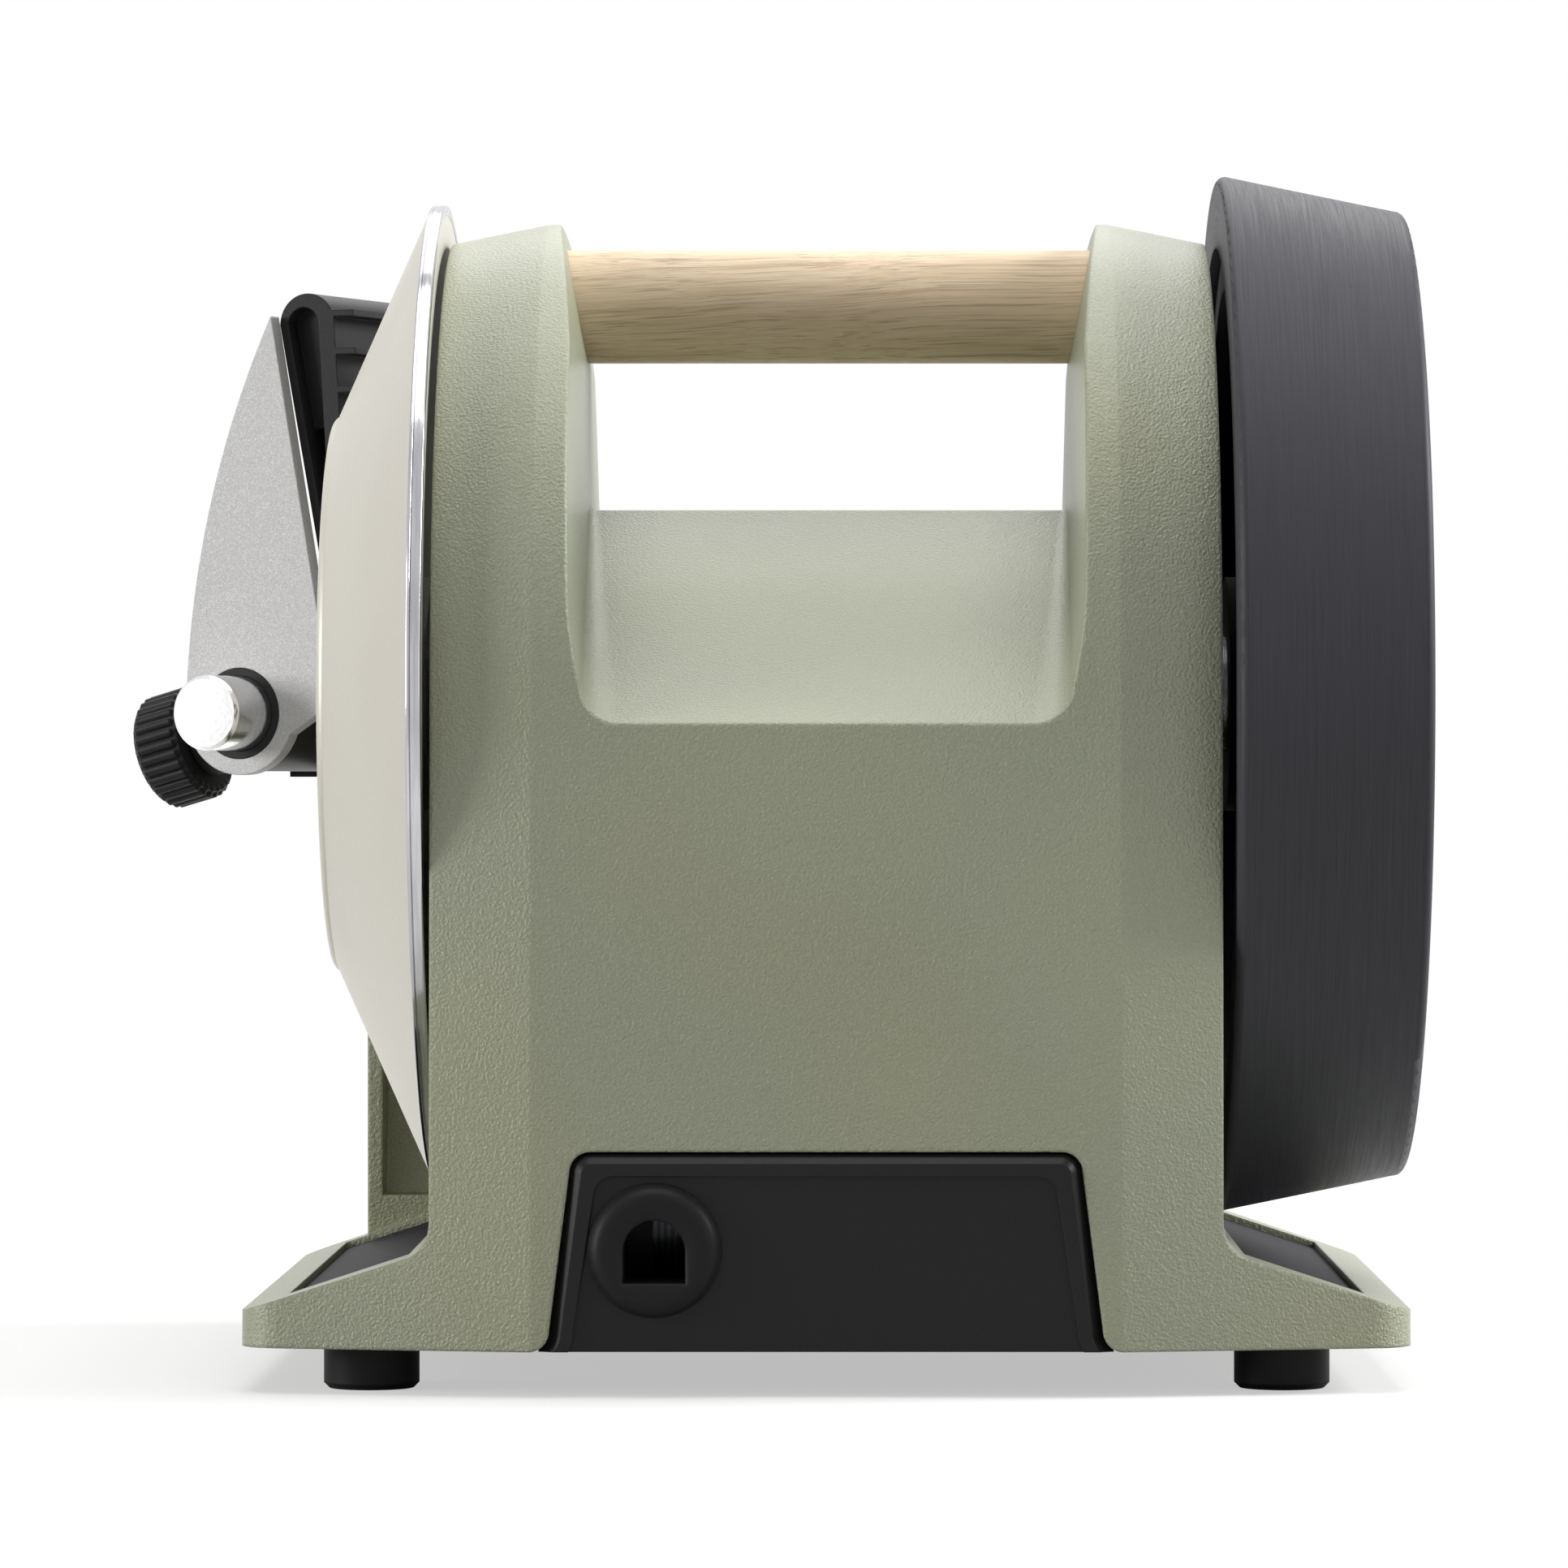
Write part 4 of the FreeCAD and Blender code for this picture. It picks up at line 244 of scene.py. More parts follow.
def mix_shaders(tree, factor, first, second):
    """A node that mixes two shader nodes."""
    return add_node(tree, "ShaderNodeMixShader", {0: factor, 1: first.outputs[0], 2: second.outputs[0]})


def start_group(name, values, outputs):
    """A shader node group that takes a vector and named values, and the sockets that give them."""
    tree = bpy.data.node_groups.new(name, "ShaderNodeTree")
    tree.interface.new_socket("Vector", in_out="INPUT", socket_type="NodeSocketVector")
    for socket, default in values.items():
        made = tree.interface.new_socket(socket, in_out="INPUT", socket_type="NodeSocketFloat")
        made.default_value = default
    for socket in outputs:
        tree.interface.new_socket(socket, in_out="OUTPUT", socket_type="NodeSocketFloat")
    return tree, add_node(tree, "NodeGroupInput").outputs


# Fineness of the dust against the cells, half width of its softest mask and its share of the height
DUST_FINENESS = 3.1
DUST_SPREAD = 0.35
DUST_HEIGHT = 0.3


def make_grain_group():
    """Fine cast or moulded grain: a tone mask and a height."""
    tree, given = start_group("Grain", {"Scale": 900.0, "Contrast": 0.5}, ("Mask", "Height"))
    finer = reckon(tree, "MULTIPLY", given["Scale"], DUST_FINENESS)
    cells = noise(tree, given["Vector"], given["Scale"], detail=2.0, roughness=0.45)["Fac"]
    dust = noise(tree, given["Vector"], finer, detail=1.0, roughness=0.5)["Fac"]
    half = reckon(tree, "MULTIPLY", reckon(tree, "SUBTRACT", 1.0, given["Contrast"]), DUST_SPREAD)
    low = reckon(tree, "SUBTRACT", 0.5, half)
    high = reckon(tree, "ADD", 0.5, half)
    height = reckon(tree, "MULTIPLY_ADD", dust, DUST_HEIGHT, cells)
    add_node(tree, "NodeGroupOutput", {"Mask": map_range(tree, dust, low, high), "Height": height})
    return tree


def make_blotch_group():
    """Broad soft patches of tone."""
    tree, given = start_group("Blotches", {"Scale": 20.0}, ("Mask",))
    clouds = noise(tree, given["Vector"], given["Scale"], detail=1.5, roughness=0.4)["Fac"]
    mask = map_range(tree, clouds, low=0.38, high=0.62, kind="SMOOTHSTEP")
    add_node(tree, "NodeGroupOutput", {"Mask": mask})
    return tree


def make_fleck_group():
    """Small bright grains, as of metal flakes or a blasted face."""
    tree, given = start_group("Flecks", {"Scale": 1800.0, "Share": 0.3}, ("Mask",))
    cells = add_node(tree, "ShaderNodeTexVoronoi", {"Vector": given["Vector"], "Scale": given["Scale"]})
    single = add_node(tree, "ShaderNodeSeparateColor", {"Color": cells.outputs["Color"]})
    above = reckon(tree, "SUBTRACT", 1.0, given["Share"])
    add_node(tree, "NodeGroupOutput", {"Mask": map_range(tree, single.outputs["Red"], above, 1.0)})
    return tree


def make_turned_group():
    """Fine lines that run round the local X axis, as on a turned or ground face."""
    tree, given = start_group("Turned lines", {"Scale": 2500.0, "Wander": 6.0}, ("Mask", "Height"))
    parts = split(tree, given["Vector"])
    flat = add_node(tree, "ShaderNodeCombineXYZ", {"Y": parts["Y"], "Z": parts["Z"]}).outputs[0]
    radius = vector_math(tree, "LENGTH", flat)["Value"]
    around = split(tree, vector_math(tree, "NORMALIZE", flat)["Vector"])
    place = add_node(tree, "ShaderNodeCombineXYZ", {
        "X": reckon(tree, "MULTIPLY", parts["X"], given["Scale"]),
        "Y": reckon(tree, "MULTIPLY", radius, given["Scale"]),
        "Z": reckon(tree, "MULTIPLY", around["Y"], given["Wander"]),
    })
    lines = add_node(tree, "ShaderNodeTexNoise", {
        "Vector": place.outputs[0],
        "W": reckon(tree, "MULTIPLY", around["Z"], given["Wander"]),
        "Scale": 1.0,
        "Detail": 2.0,
        "Roughness": 0.6,
    }, noise_dimensions="4D").outputs["Fac"]
    add_node(tree, "NodeGroupOutput", {"Mask": map_range(tree, lines, low=0.35, high=0.65), "Height": lines})
    return tree


PATTERNS = {
    "grain": make_grain_group,
    "blotches": make_blotch_group,
    "flecks": make_fleck_group,
    "turned": make_turned_group,
}
groups = {}


class Finish:
    """A material on object coordinates that patterns are laid into one by one."""

    def __init__(self, name, base, roughness, metallic=0.0, **shader_inputs):
        self.material = bpy.data.materials.new(name)
        self.material.use_nodes = True
        self.tree = self.material.node_tree
        self.shader = next(node for node in self.tree.nodes if node.type == "BSDF_PRINCIPLED")
        settings = {"Base_Color": (*base, 1), "Roughness": roughness, "Metallic": metallic, **shader_inputs}
        for socket, value in settings.items():
            self.shader.inputs[socket.replace("_", " ")].default_value = value
        self.coordinates = add_node(self.tree, "ShaderNodeTexCoord").outputs["Object"]

    def feed(self, socket, source):
        """Links an output socket to an input of the shader."""
        self.tree.links.new(source, self.shader.inputs[socket])

    def placed(self, centre, turn=(0, 0, 0)):
        """Object coordinates about a centre, turned."""
        moved = vector_math(self.tree, "SUBTRACT", self.coordinates, centre)["Vector"]
        return add_node(self.tree, "ShaderNodeMapping", {"Vector": moved, "Rotation": turn}).outputs[0]

    def long_grain(self, where, stretch, sway, low, high, detail):
        """A mask of stretched noise that sways sideways, so that long grain runs in waves."""
        drift = noise(self.tree, where, scale=28.0, detail=1.0, roughness=0.5)["Color"]
        centred = vector_math(self.tree, "SUBTRACT", drift, (0.5, 0.5, 0.5))["Vector"]
        spread = vector_math(self.tree, "MULTIPLY", centred, (0, sway, sway))["Vector"]
        moved = vector_math(self.tree, "ADD", where, spread)["Vector"]
        stretched = vector_math(self.tree, "MULTIPLY", moved, stretch)["Vector"]
        streaks = noise(self.tree, stretched, scale=1.0, detail=detail, roughness=0.6)["Fac"]
        return map_range(self.tree, streaks, low, high)

    def pattern(self, kind, where=None, **inputs):
        """The outputs of one of the shared pattern groups, placed in this material."""
        if kind not in groups:
            groups[kind] = PATTERNS[kind]()
        inputs["Vector"] = where or self.coordinates
        return add_node(self.tree, "ShaderNodeGroup", inputs, node_tree=groups[kind]).outputs

    def tint(self, mask, other, strength):
        """Moves the base colour toward another where the mask is high."""
        base = self.shader.inputs["Base Color"]
        mix = add_node(self.tree, "ShaderNodeMix", {
            MIX_FACTOR: reckon(self.tree, "MULTIPLY", mask, strength),
            MIX_FIRST: base.links[0].from_socket if base.is_linked else tuple(base.default_value),
            MIX_SECOND: (*other, 1),
        }, data_type="RGBA")
        self.feed("Base Color", mix.outputs[MIX_RESULT])

    def gloss(self, mask, low, high):
        """Roughness from low to high with the mask."""
        self.feed("Roughness", map_range(self.tree, mask, 0.0, 1.0, low, high))

    def round_edges(self, radius):
        """Lets the light see rounded edges where two faces meet."""
        rounded = add_node(self.tree, "ShaderNodeBevel", {"Radius": radius}, samples=6)
        self.feed("Normal", rounded.outputs["Normal"])

    def relief(self, height, depth, strength):
        """Adds a bump of a depth in metres on top of the ones before."""
        inputs = {"Strength": strength, "Distance": depth, "Height": height}
        normal = self.shader.inputs["Normal"]
        if normal.is_linked:
            inputs["Normal"] = normal.links[0].from_socket
        self.feed("Normal", add_node(self.tree, "ShaderNodeBump", inputs).outputs["Normal"])


def centre_of(node):
    """The middle of a CAD node's box."""
    low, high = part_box(node)
    return (low + high) / 2


def green_paint():
    """Satin metallic paint over a finely textured casting."""
    look = bpy.context.scene.sharpener_housing
    finish = Finish("green_paint", look.paint, roughness=0.4, metallic=0.15, Coat_Weight=0.25,
                    Coat_Roughness=0.3)
    broad = finish.pattern("blotches", Scale=13.0)
    clouds = finish.pattern("blotches", finish.placed((0.3, 0.1, 0.2)), Scale=21.0)
    leather = finish.pattern("grain", Scale=2300.0, Contrast=0.3)
    flecks = finish.pattern("flecks", Scale=7000.0, Share=0.4)
    finish.tint(broad["Mask"], look.paint_shade, strength=0.5)
    finish.tint(clouds["Mask"], look.paint_cool, strength=0.5)
    finish.tint(leather["Mask"], look.paint_shade, strength=0.5)
    finish.tint(flecks["Mask"], look.paint_flake, strength=0.25)
    finish.gloss(leather["Mask"], low=0.34, high=0.46)
    finish.round_edges(look.edge_round)
    finish.relief(leather["Height"], depth=0.0003, strength=0.8)
    return finish.material


def oak():
    """Pale oiled oak with its grain along X."""
    look = bpy.context.scene.sharpener_handle
    finish = Finish("oak", look.oak_light, roughness=0.5, Specular_IOR_Level=0.2)
    where = finish.placed(centre_of("handle"), turn=(0, math.radians(-3.5), 0))
    figure = finish.long_grain(where, (10, 240, 240), sway=0.004, low=0.38, high=0.62, detail=2.0)
    lines = finish.long_grain(where, (24, 2300, 2300), sway=0.0025, low=0.4, high=0.64, detail=3.0)
    pores = finish.long_grain(where, (50, 3800, 3800), sway=0.0025, low=0.54, high=0.66, detail=2.0)
    dark = finish.long_grain(where, (8, 700, 700), sway=0.003, low=0.58, high=0.68, detail=4.0)
    finish.tint(figure, look.oak_dark, strength=0.35)
    finish.tint(lines, look.oak_dark, strength=0.7)
    finish.tint(pores, look.oak_pore, strength=0.4)
    finish.tint(dark, look.oak_pore, strength=0.45)
    finish.gloss(lines, low=0.46, high=0.62)
    finish.relief(lines, depth=0.00004, strength=0.4)
    finish.relief(pores, depth=0.00003, strength=0.3)
    return finish.material


def diamond_steel():
    """Steel under a fine diamond coat."""
    look = bpy.context.scene.sharpener_diamond
    finish = Finish("diamond_steel", look.face_light, roughness=0.45, metallic=0.25)
    broad = finish.pattern("blotches", Scale=34.0)
    grain = finish.pattern("grain", Scale=2400.0, Contrast=0.3)
    flecks = finish.pattern("flecks", Scale=5200.0, Share=0.2)
    finish.tint(broad["Mask"], look.face_dark, strength=0.2)
    finish.tint(grain["Mask"], look.face_dark, strength=0.3)
    finish.tint(flecks["Mask"], display(214, 211, 202), strength=0.25)
    finish.gloss(grain["Mask"], low=0.36, high=0.5)
    finish.relief(grain["Height"], depth=0.00005, strength=0.4)
    return finish.material


def turned_metal(name, light, dark, roughness, scale=2500.0, centre=None, turn=(0, 0, 0)):
    """Metal with fine lines about X through a centre, and about the wheel axis where none is given."""
    if centre is None:
        centre = (0, 0, centre_of("wheel_shaft").z)
    finish = Finish(name, display(*light), roughness, metallic=1.0)
    lines = finish.pattern("turned", finish.placed(centre, turn), Scale=scale)
    broad = finish.pattern("blotches", Scale=60.0)
    finish.tint(lines["Mask"], display(*dark), strength=0.5)
    finish.tint(broad["Mask"], display(*dark), strength=0.25)
    finish.gloss(lines["Mask"], low=roughness - 0.06, high=roughness + 0.08)
    finish.relief(lines["Height"], depth=0.00003, strength=0.3)
    return finish.material


def bright_steel():
    """The ground guide bar, turned about its own axis."""
    axis = Vector(JOINTS["guide_swing"]["axis"])
    return turned_metal("bright_steel", (242, 242, 242), (212, 212, 214), roughness=0.16, scale=2600.0,
                        centre=centre_of("guide_bar"), turn=(0, 0, -math.atan2(axis.y, axis.x)))


def carrier_steel():
    """Rolled and plated sheet."""
    return turned_metal("carrier_steel", (196, 198, 200), (150, 152, 150), roughness=0.36, scale=900.0,
                        centre=centre_of("idler_axle"))


def honing_composite():
    """Charcoal composite, turned fine on its rim."""
    look = bpy.context.scene.sharpener_honing
    finish = Finish("honing_composite", look.composite_light, roughness=0.5, Specular_IOR_Level=0.2)
    lines = finish.pattern("turned", finish.placed(centre_of("honing_ring")), Scale=5200.0, Wander=5.0)
    grain = finish.pattern("grain", Scale=2600.0, Contrast=0.3)
    finish.tint(lines["Mask"], look.composite_dark, strength=0.5)
    finish.tint(grain["Mask"], look.composite_dark, strength=0.2)
    finish.gloss(lines["Mask"], low=0.44, high=0.56)
    finish.relief(lines["Height"], depth=0.00002, strength=0.35)
    return finish.material


def moulded(name, roughness, light=None, dark=None, scale=1800.0, depth=0.00005, coat=0.0, specular=0.12):
    """A moulded plastic or rubber with a fine grain; black unless tones are given."""
    trim = bpy.context.scene.sharpener_trim
    light = display(*light) if light else tuple(trim.black_light)
    dark = display(*dark) if dark else tuple(trim.black_dark)
    finish = Finish(name, dark, roughness, Specular_IOR_Level=specular, Coat_Weight=coat)
    grain = finish.pattern("grain", Scale=scale, Contrast=0.4)
    broad = finish.pattern("blotches", Scale=45.0)
    finish.tint(grain["Mask"], light, strength=0.5)
    finish.tint(broad["Mask"], light, strength=0.15)
    finish.gloss(grain["Mask"], low=roughness - 0.06, high=roughness + 0.06)
    finish.round_edges(SMALL_EDGE)
    finish.relief(grain["Height"], depth=depth, strength=0.5)
    return finish.material


def plate_zinc():
    """A blasted grey casting with bright grains."""
    look = bpy.context.scene.sharpener_guide
    finish = Finish("plate_zinc", look.zinc_dark, roughness=0.5, metallic=0.15)
    flecks = finish.pattern("flecks", Scale=6500.0, Share=0.45)
    grain = finish.pattern("grain", Scale=2200.0, Contrast=0.4)
    finish.tint(grain["Mask"], look.zinc_light, strength=0.5)
    finish.tint(flecks["Mask"], look.zinc_light, strength=0.55)
    finish.gloss(flecks["Mask"], low=0.54, high=0.42)
    finish.round_edges(SMALL_EDGE)
    finish.relief(grain["Height"], depth=0.00005, strength=0.4)
    return finish.material


def wound_copper():
    """Varnished copper wire in fine turns."""
    finish = Finish("winding_copper", display(206, 132, 78), roughness=0.32, metallic=0.85, Coat_Weight=0.4,
                    Coat_Roughness=0.15)
    lines = finish.pattern("turned", finish.placed(centre_of("winding_left")), Scale=1300.0, Wander=3.0)
    finish.tint(lines["Mask"], display(120, 64, 34), strength=0.7)
    finish.relief(lines["Height"], depth=0.0002, strength=0.7)
    return finish.material


def laminations():
    """Thin varnished steel sheets stacked along X."""
    finish = Finish("motor_steel", display(150, 152, 158), roughness=0.42, metallic=0.8)
    sheets = add_node(finish.tree, "ShaderNodeTexWave", {
        "Vector": finish.coordinates, "Scale": 320.0, "Distortion": 0.4, "Detail": 1.0,
    }, wave_type="BANDS", bands_direction="X").outputs["Fac"]
    broad = finish.pattern("blotches", Scale=50.0)
    finish.tint(sheets, display(86, 88, 96), strength=0.7)
    finish.tint(broad["Mask"], display(96, 84, 72), strength=0.25)
    finish.relief(sheets, depth=0.0001, strength=0.5)
    return finish.material


FINISHES = {
    "green_paint": green_paint,
    "oak": oak,
    "diamond_steel": diamond_steel,
    "honing_composite": honing_composite,
    "bright_steel": bright_steel,
    "carrier_steel": carrier_steel,
    "plate_zinc": plate_zinc,
    "winding_copper": wound_copper,
    "motor_steel": laminations,
}
# The polished rim, the plated screws, the ground shaft with its rings and the oiled gears
TURNED = {
    "rim_steel": dict(light=(190, 190, 194), dark=(146, 146, 152), roughness=0.12, scale=1800.0),
    "bolt_steel": dict(light=(188, 188, 184), dark=(142, 142, 138), roughness=0.3),
    "bearing_steel": dict(light=(206, 208, 212), dark=(150, 152, 158), roughness=0.2),
    "gear_steel": dict(light=(176, 174, 170), dark=(108, 106, 102), roughness=0.3),
}
MOULDED = {
    "core_plastic": dict(roughness=0.5),
    "panel_plastic": dict(roughness=0.42, light=(27, 27, 28), dark=(17, 17, 18), scale=2400.0, specular=0.19),
    "bushing_rubber": dict(roughness=0.45, light=(35, 35, 36), dark=(25, 25, 26), scale=2600.0,
                           depth=0.00002),
    "foot_rubber": dict(roughness=0.52, depth=0.00003),
    "tray_rubber": dict(roughness=0.5, light=(44, 43, 48), dark=(33, 32, 37), scale=2400.0, depth=0.00002,
                        specular=0.03),
    "switch_plastic": dict(roughness=0.24, scale=2600.0, depth=0.00002, coat=0.3),
    "guide_plastic": dict(roughness=0.42, light=(48, 48, 49), dark=(34, 34, 35), scale=2200.0),
    "fan_plastic": dict(roughness=0.42, light=(80, 80, 82), dark=(58, 58, 60)),
    "bell_aluminium": dict(roughness=0.5, light=(216, 216, 218), dark=(180, 180, 184), scale=1200.0,
                           depth=0.00012),
    "capacitor_case": dict(roughness=0.35, light=(232, 231, 226), dark=(214, 213, 207)),
    "block_plastic": dict(roughness=0.4, light=(236, 234, 224), dark=(222, 219, 206)),
}
made_finishes = {}


def make_finish(name):
    """A new finish by name."""
    if name in TURNED:
        return turned_metal(name, **TURNED[name])
    if name in MOULDED:
        return moulded(name, **MOULDED[name])
    return FINISHES[name]()


def finish_for(name):
    """A finish by name, made once."""
    if name not in made_finishes:
        made_finishes[name] = make_finish(name)
    return made_finishes[name]


def dress(*nodes):
    """Gives CAD nodes the finish of their slots."""
    for node in nodes:
        item = frame["nodes"][node]
        item.data.materials.clear()
        item.data.materials.append(finish_for(SLOTS[node]))


# Meshes


def loop_surface(name, loops, finish):
    """Joins equally long loops of points one to the next, and the last to the first, into a closed skin."""
    size = len(loops[0])
    faces = []
    for row in range(len(loops)):
        after = (row + 1) % len(loops)
        for step in range(size):
            beside = (step + 1) % size
            faces.append((row * size + step, row * size + beside, after * size + beside, after * size + step))
    mesh = bpy.data.meshes.new(name)
    mesh.from_pydata([tuple(point) for loop in loops for point in loop], [], faces)
    mesh.materials.append(finish)
    outward(mesh)
    item = bpy.data.objects.new(name, mesh)
    bpy.context.scene.collection.objects.link(item)
    return item


def outward(mesh):
    """Turns the faces outward and shades them smooth except across sharp edges."""
    work = bmesh.new()
    work.from_mesh(mesh)
    bmesh.ops.recalc_face_normals(work, faces=work.faces)
    for face in work.faces:
        face.smooth = True
    for edge in work.edges:
        edge.smooth = len(edge.link_faces) == 2 and edge.calc_face_angle() < math.radians(SHARP_DEGREES)
    work.to_mesh(mesh)
    work.free()


def full_turn(sides):
    """Angles of a full turn in equal steps."""
    return [2 * math.pi * step / sides for step in range(sides)]


def arc(centre, radius, start, end, steps=5):
    """Points (radius, station) on a small arc of a section, in degrees from outward to along."""
    angles = [math.radians(start + (end - start) * step / steps) for step in range(steps + 1)]
    return [(centre[0] + radius * math.cos(angle), centre[1] + radius * math.sin(angle)) for angle in angles]


def lathe(name, section, place, finish, sides=AROUND):
    """A closed section of (radius, station) turned about the place's Z axis."""
    loops = [[place @ Vector((radius * math.cos(turn), radius * math.sin(turn), station))
              for turn in full_turn(sides)] for radius, station in section]
    return loop_surface(name, loops, finish)


def finished(item, slot, body, *replaced):
    """Hands a finished piece over: the body it rides on and the nodes it stands for, which it hides; its slot
    is not used.
    """
    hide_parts(*replaced)
    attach(item, body)


def along(point, direction):
    """The matrix that puts local Z along a direction from a point."""
    return Matrix.Translation(Vector(point)) @ Vector(direction).to_track_quat("Z", "Y").to_matrix().to_4x4()


def about_joint(node, joint):
    """A joint's pivot and axis, and a CAD node's vertices from that pivot."""
    pivot = Vector(JOINTS[joint]["pos_m"])
    axis = Vector(JOINTS[joint]["axis"])
    return pivot, axis, [vertex.co - pivot for vertex in frame["nodes"][node].data.vertices]


# Operators


class SHARPENER_OT_stage(bpy.types.Operator):
    """Camera, lamps, room light and floor"""

    bl_idname = "sharpener.stage"
    bl_label = "Stage"

    def execute(self, context):
        look = context.scene.sharpener_stage
        make_camera(context.scene, look)
        make_room(context.scene, look)
        make_floor(look)
        for lamp in LAMPS:
            make_lamp(**lamp)
        return {"FINISHED"}


def make_camera(scene, look):
    """The camera at the picture's viewing angle."""
    data = bpy.data.cameras.new("camera")
    data.lens = look.lens
    data.sensor_width = 36.0
    data.shift_x = look.shift_x
    data.shift_y = look.shift_y
    data.clip_start = 0.05
    data.clip_end = 20.0
    camera = bpy.data.objects.new("camera", data)
    camera.location = look.camera_place
    camera.rotation_mode = "QUATERNION"
    camera.rotation_quaternion = Vector((0, -1, 0)).to_track_quat("-Z", "Y")
    scene.collection.objects.link(camera)
    scene.camera = camera


def make_room(scene, look):
    """White where it is seen or mirrored; as light, uneven as in a studio with one dark side."""
    world = bpy.data.worlds.new("room")
    scene.world = world
    world.use_nodes = True
    tree = world.node_tree
    tree.nodes.clear()
    way = split(tree, add_node(tree, "ShaderNodeTexCoord").outputs["Generated"])
    across = map_range(tree, way["X"], low=-0.4, high=0.4, to_low=look.room_right, to_high=look.room_left,
                       kind="SMOOTHSTEP")
    depth = map_range(tree, way["Y"], low=0.1, high=0.55, to_low=across, to_high=look.room_behind,
                      kind="SMOOTHSTEP")
    height = map_range(tree, way["Z"], low=0.3, high=0.7, to_low=depth, to_high=look.room_above,
                       kind="SMOOTHSTEP")
    light = add_node(tree, "ShaderNodeBackground", {"Color": WHITE, "Strength": height})
    seen = add_node(tree, "ShaderNodeBackground", {"Color": WHITE, "Strength": 1.0})
    ray = add_node(tree, "ShaderNodeLightPath").outputs
    mirrored = reckon(tree, "MAXIMUM", ray["Is Glossy Ray"], ray["Is Transmission Ray"])
    white = reckon(tree, "MAXIMUM", ray["Is Camera Ray"], mirrored)
    mix = mix_shaders(tree, white, light, seen)
    add_node(tree, "ShaderNodeOutputWorld", {"Surface": mix.outputs[0]})


# Shares of the floor's radius between which it fades out
FADE_START = 0.24
FADE_END = 0.9


def make_floor(look):
    """A round pale floor that fades into the white behind it."""
    mesh = bpy.data.meshes.new("floor")
    corners = [(look.floor_radius * math.cos(turn), look.floor_radius * math.sin(turn), 0)
               for turn in full_turn(AROUND_SMALL)]
    mesh.from_pydata(corners, [], [list(range(len(corners)))])
    floor = bpy.data.objects.new("floor", mesh)
    bpy.context.scene.collection.objects.link(floor)
    material = bpy.data.materials.new("floor")
    material.use_nodes = True
    tree = material.node_tree
    tree.nodes.clear()
    place = add_node(tree, "ShaderNodeTexCoord").outputs["Object"]
    reach = vector_math(tree, "LENGTH", place)["Value"]
    fade = map_range(tree, reach, FADE_START * look.floor_radius, FADE_END * look.floor_radius,
                     kind="SMOOTHSTEP")
    ray = add_node(tree, "ShaderNodeLightPath").outputs
    tone = add_node(tree, "ShaderNodeMixRGB", {
        "Fac": ray["Is Diffuse Ray"], "Color1": (*look.floor_colour, 1), "Color2": (*look.floor_bounce, 1)})
    matt = add_node(tree, "ShaderNodeBsdfDiffuse", {"Color": tone.outputs[0]})
    glow = add_node(tree, "ShaderNodeEmission", {"Color": WHITE})
    clear = add_node(tree, "ShaderNodeBsdfTransparent")
    lift = reckon(tree, "MULTIPLY", ray["Is Camera Ray"], look.floor_glow)
    mix = mix_shaders(tree, fade, mix_shaders(tree, lift, matt, glow), clear)
    add_node(tree, "ShaderNodeOutputMaterial", {"Surface": mix.outputs[0]})
    mesh.materials.append(material)


# What most lamps aim at, and the tones of the lamps on the left and on the right
MACHINE = (0, 0, 0.1)
WARM = (1.0, 0.99, 0.975)
COOL = (0.98, 0.99, 1.0)
# Places and sizes in metres, power in watts
LAMPS = (
    dict(name="lamp_top", place=(0.0, 0.1, 1.4), target=MACHINE, size=1.0, power=11.0,
         tone=(1.0, 0.998, 0.99)),
    dict(name="lamp_ahead", place=(0.0, -0.95, 1.15), target=(0, 0.02, 0.12), size=1.0, power=6.5,
         tone=(1.0, 1.0, 1.0)),
    dict(name="lamp_left", place=(1.3, 0.38, 0.3), target=MACHINE, size=0.5, power=10.5, tone=WARM),
    dict(name="lamp_right", place=(-1.25, -0.05, 0.7), target=MACHINE, size=0.5, power=21.0, tone=COOL),
    dict(name="lamp_near_left", place=(0.95, 1.35, 0.4), target=MACHINE, size=0.7, power=0.8, tone=WARM),
    dict(name="lamp_near_right", place=(-0.95, 1.35, 0.4), target=MACHINE, size=0.7, power=1.6, tone=COOL),
)


def make_lamp(name, place, target, size, power, tone):
    """A square soft lamp aimed at a point."""
    data = bpy.data.lights.new(name, "AREA")
    data.shape = "SQUARE"
    data.size = size
    data.energy = power
    data.color = tone
    lamp = bpy.data.objects.new(name, data)
    lamp.location = place
    lamp.rotation_mode = "QUATERNION"
    lamp.rotation_quaternion = (Vector(target) - Vector(place)).to_track_quat("-Z", "Y")
    bpy.context.scene.collection.objects.link(lamp)


class SHARPENER_OT_housing(bpy.types.Operator):
    """Paints the casting"""

    bl_idname = "sharpener.housing"
    bl_label = "Housing"

    def execute(self, context):
        dress("housing")
        return {"FINISHED"}


class SHARPENER_OT_handle(bpy.types.Operator):
    """Gives the handle its oak grain"""

    bl_idname = "sharpener.handle"
    bl_label = "Handle"

    def execute(self, context):
        dress("handle", "handle_screws")
        return {"FINISHED"}


class SHARPENER_OT_supports(bpy.types.Operator):
    """Feet, trays and the cover below"""

    bl_idname = "sharpener.supports"
    bl_label = "Feet, trays and cover"

    def execute(self, context):
        dress("foot_rear_right", "foot_front_right", "foot_rear_left", "foot_front_left", "foot_screws",
              "tray_insert_right", "tray_insert_left", "base_cover", "base_cover_screws")
        return {"FINISHED"}


class SHARPENER_OT_panels(bpy.types.Operator):
    """End panels and the rocker switch"""

    bl_idname = "sharpener.panels"
    bl_label = "End panels and switch"

    def execute(self, context):
        dress("rear_panel", "front_panel", "switch_case", "switch_rocker")
        return {"FINISHED"}


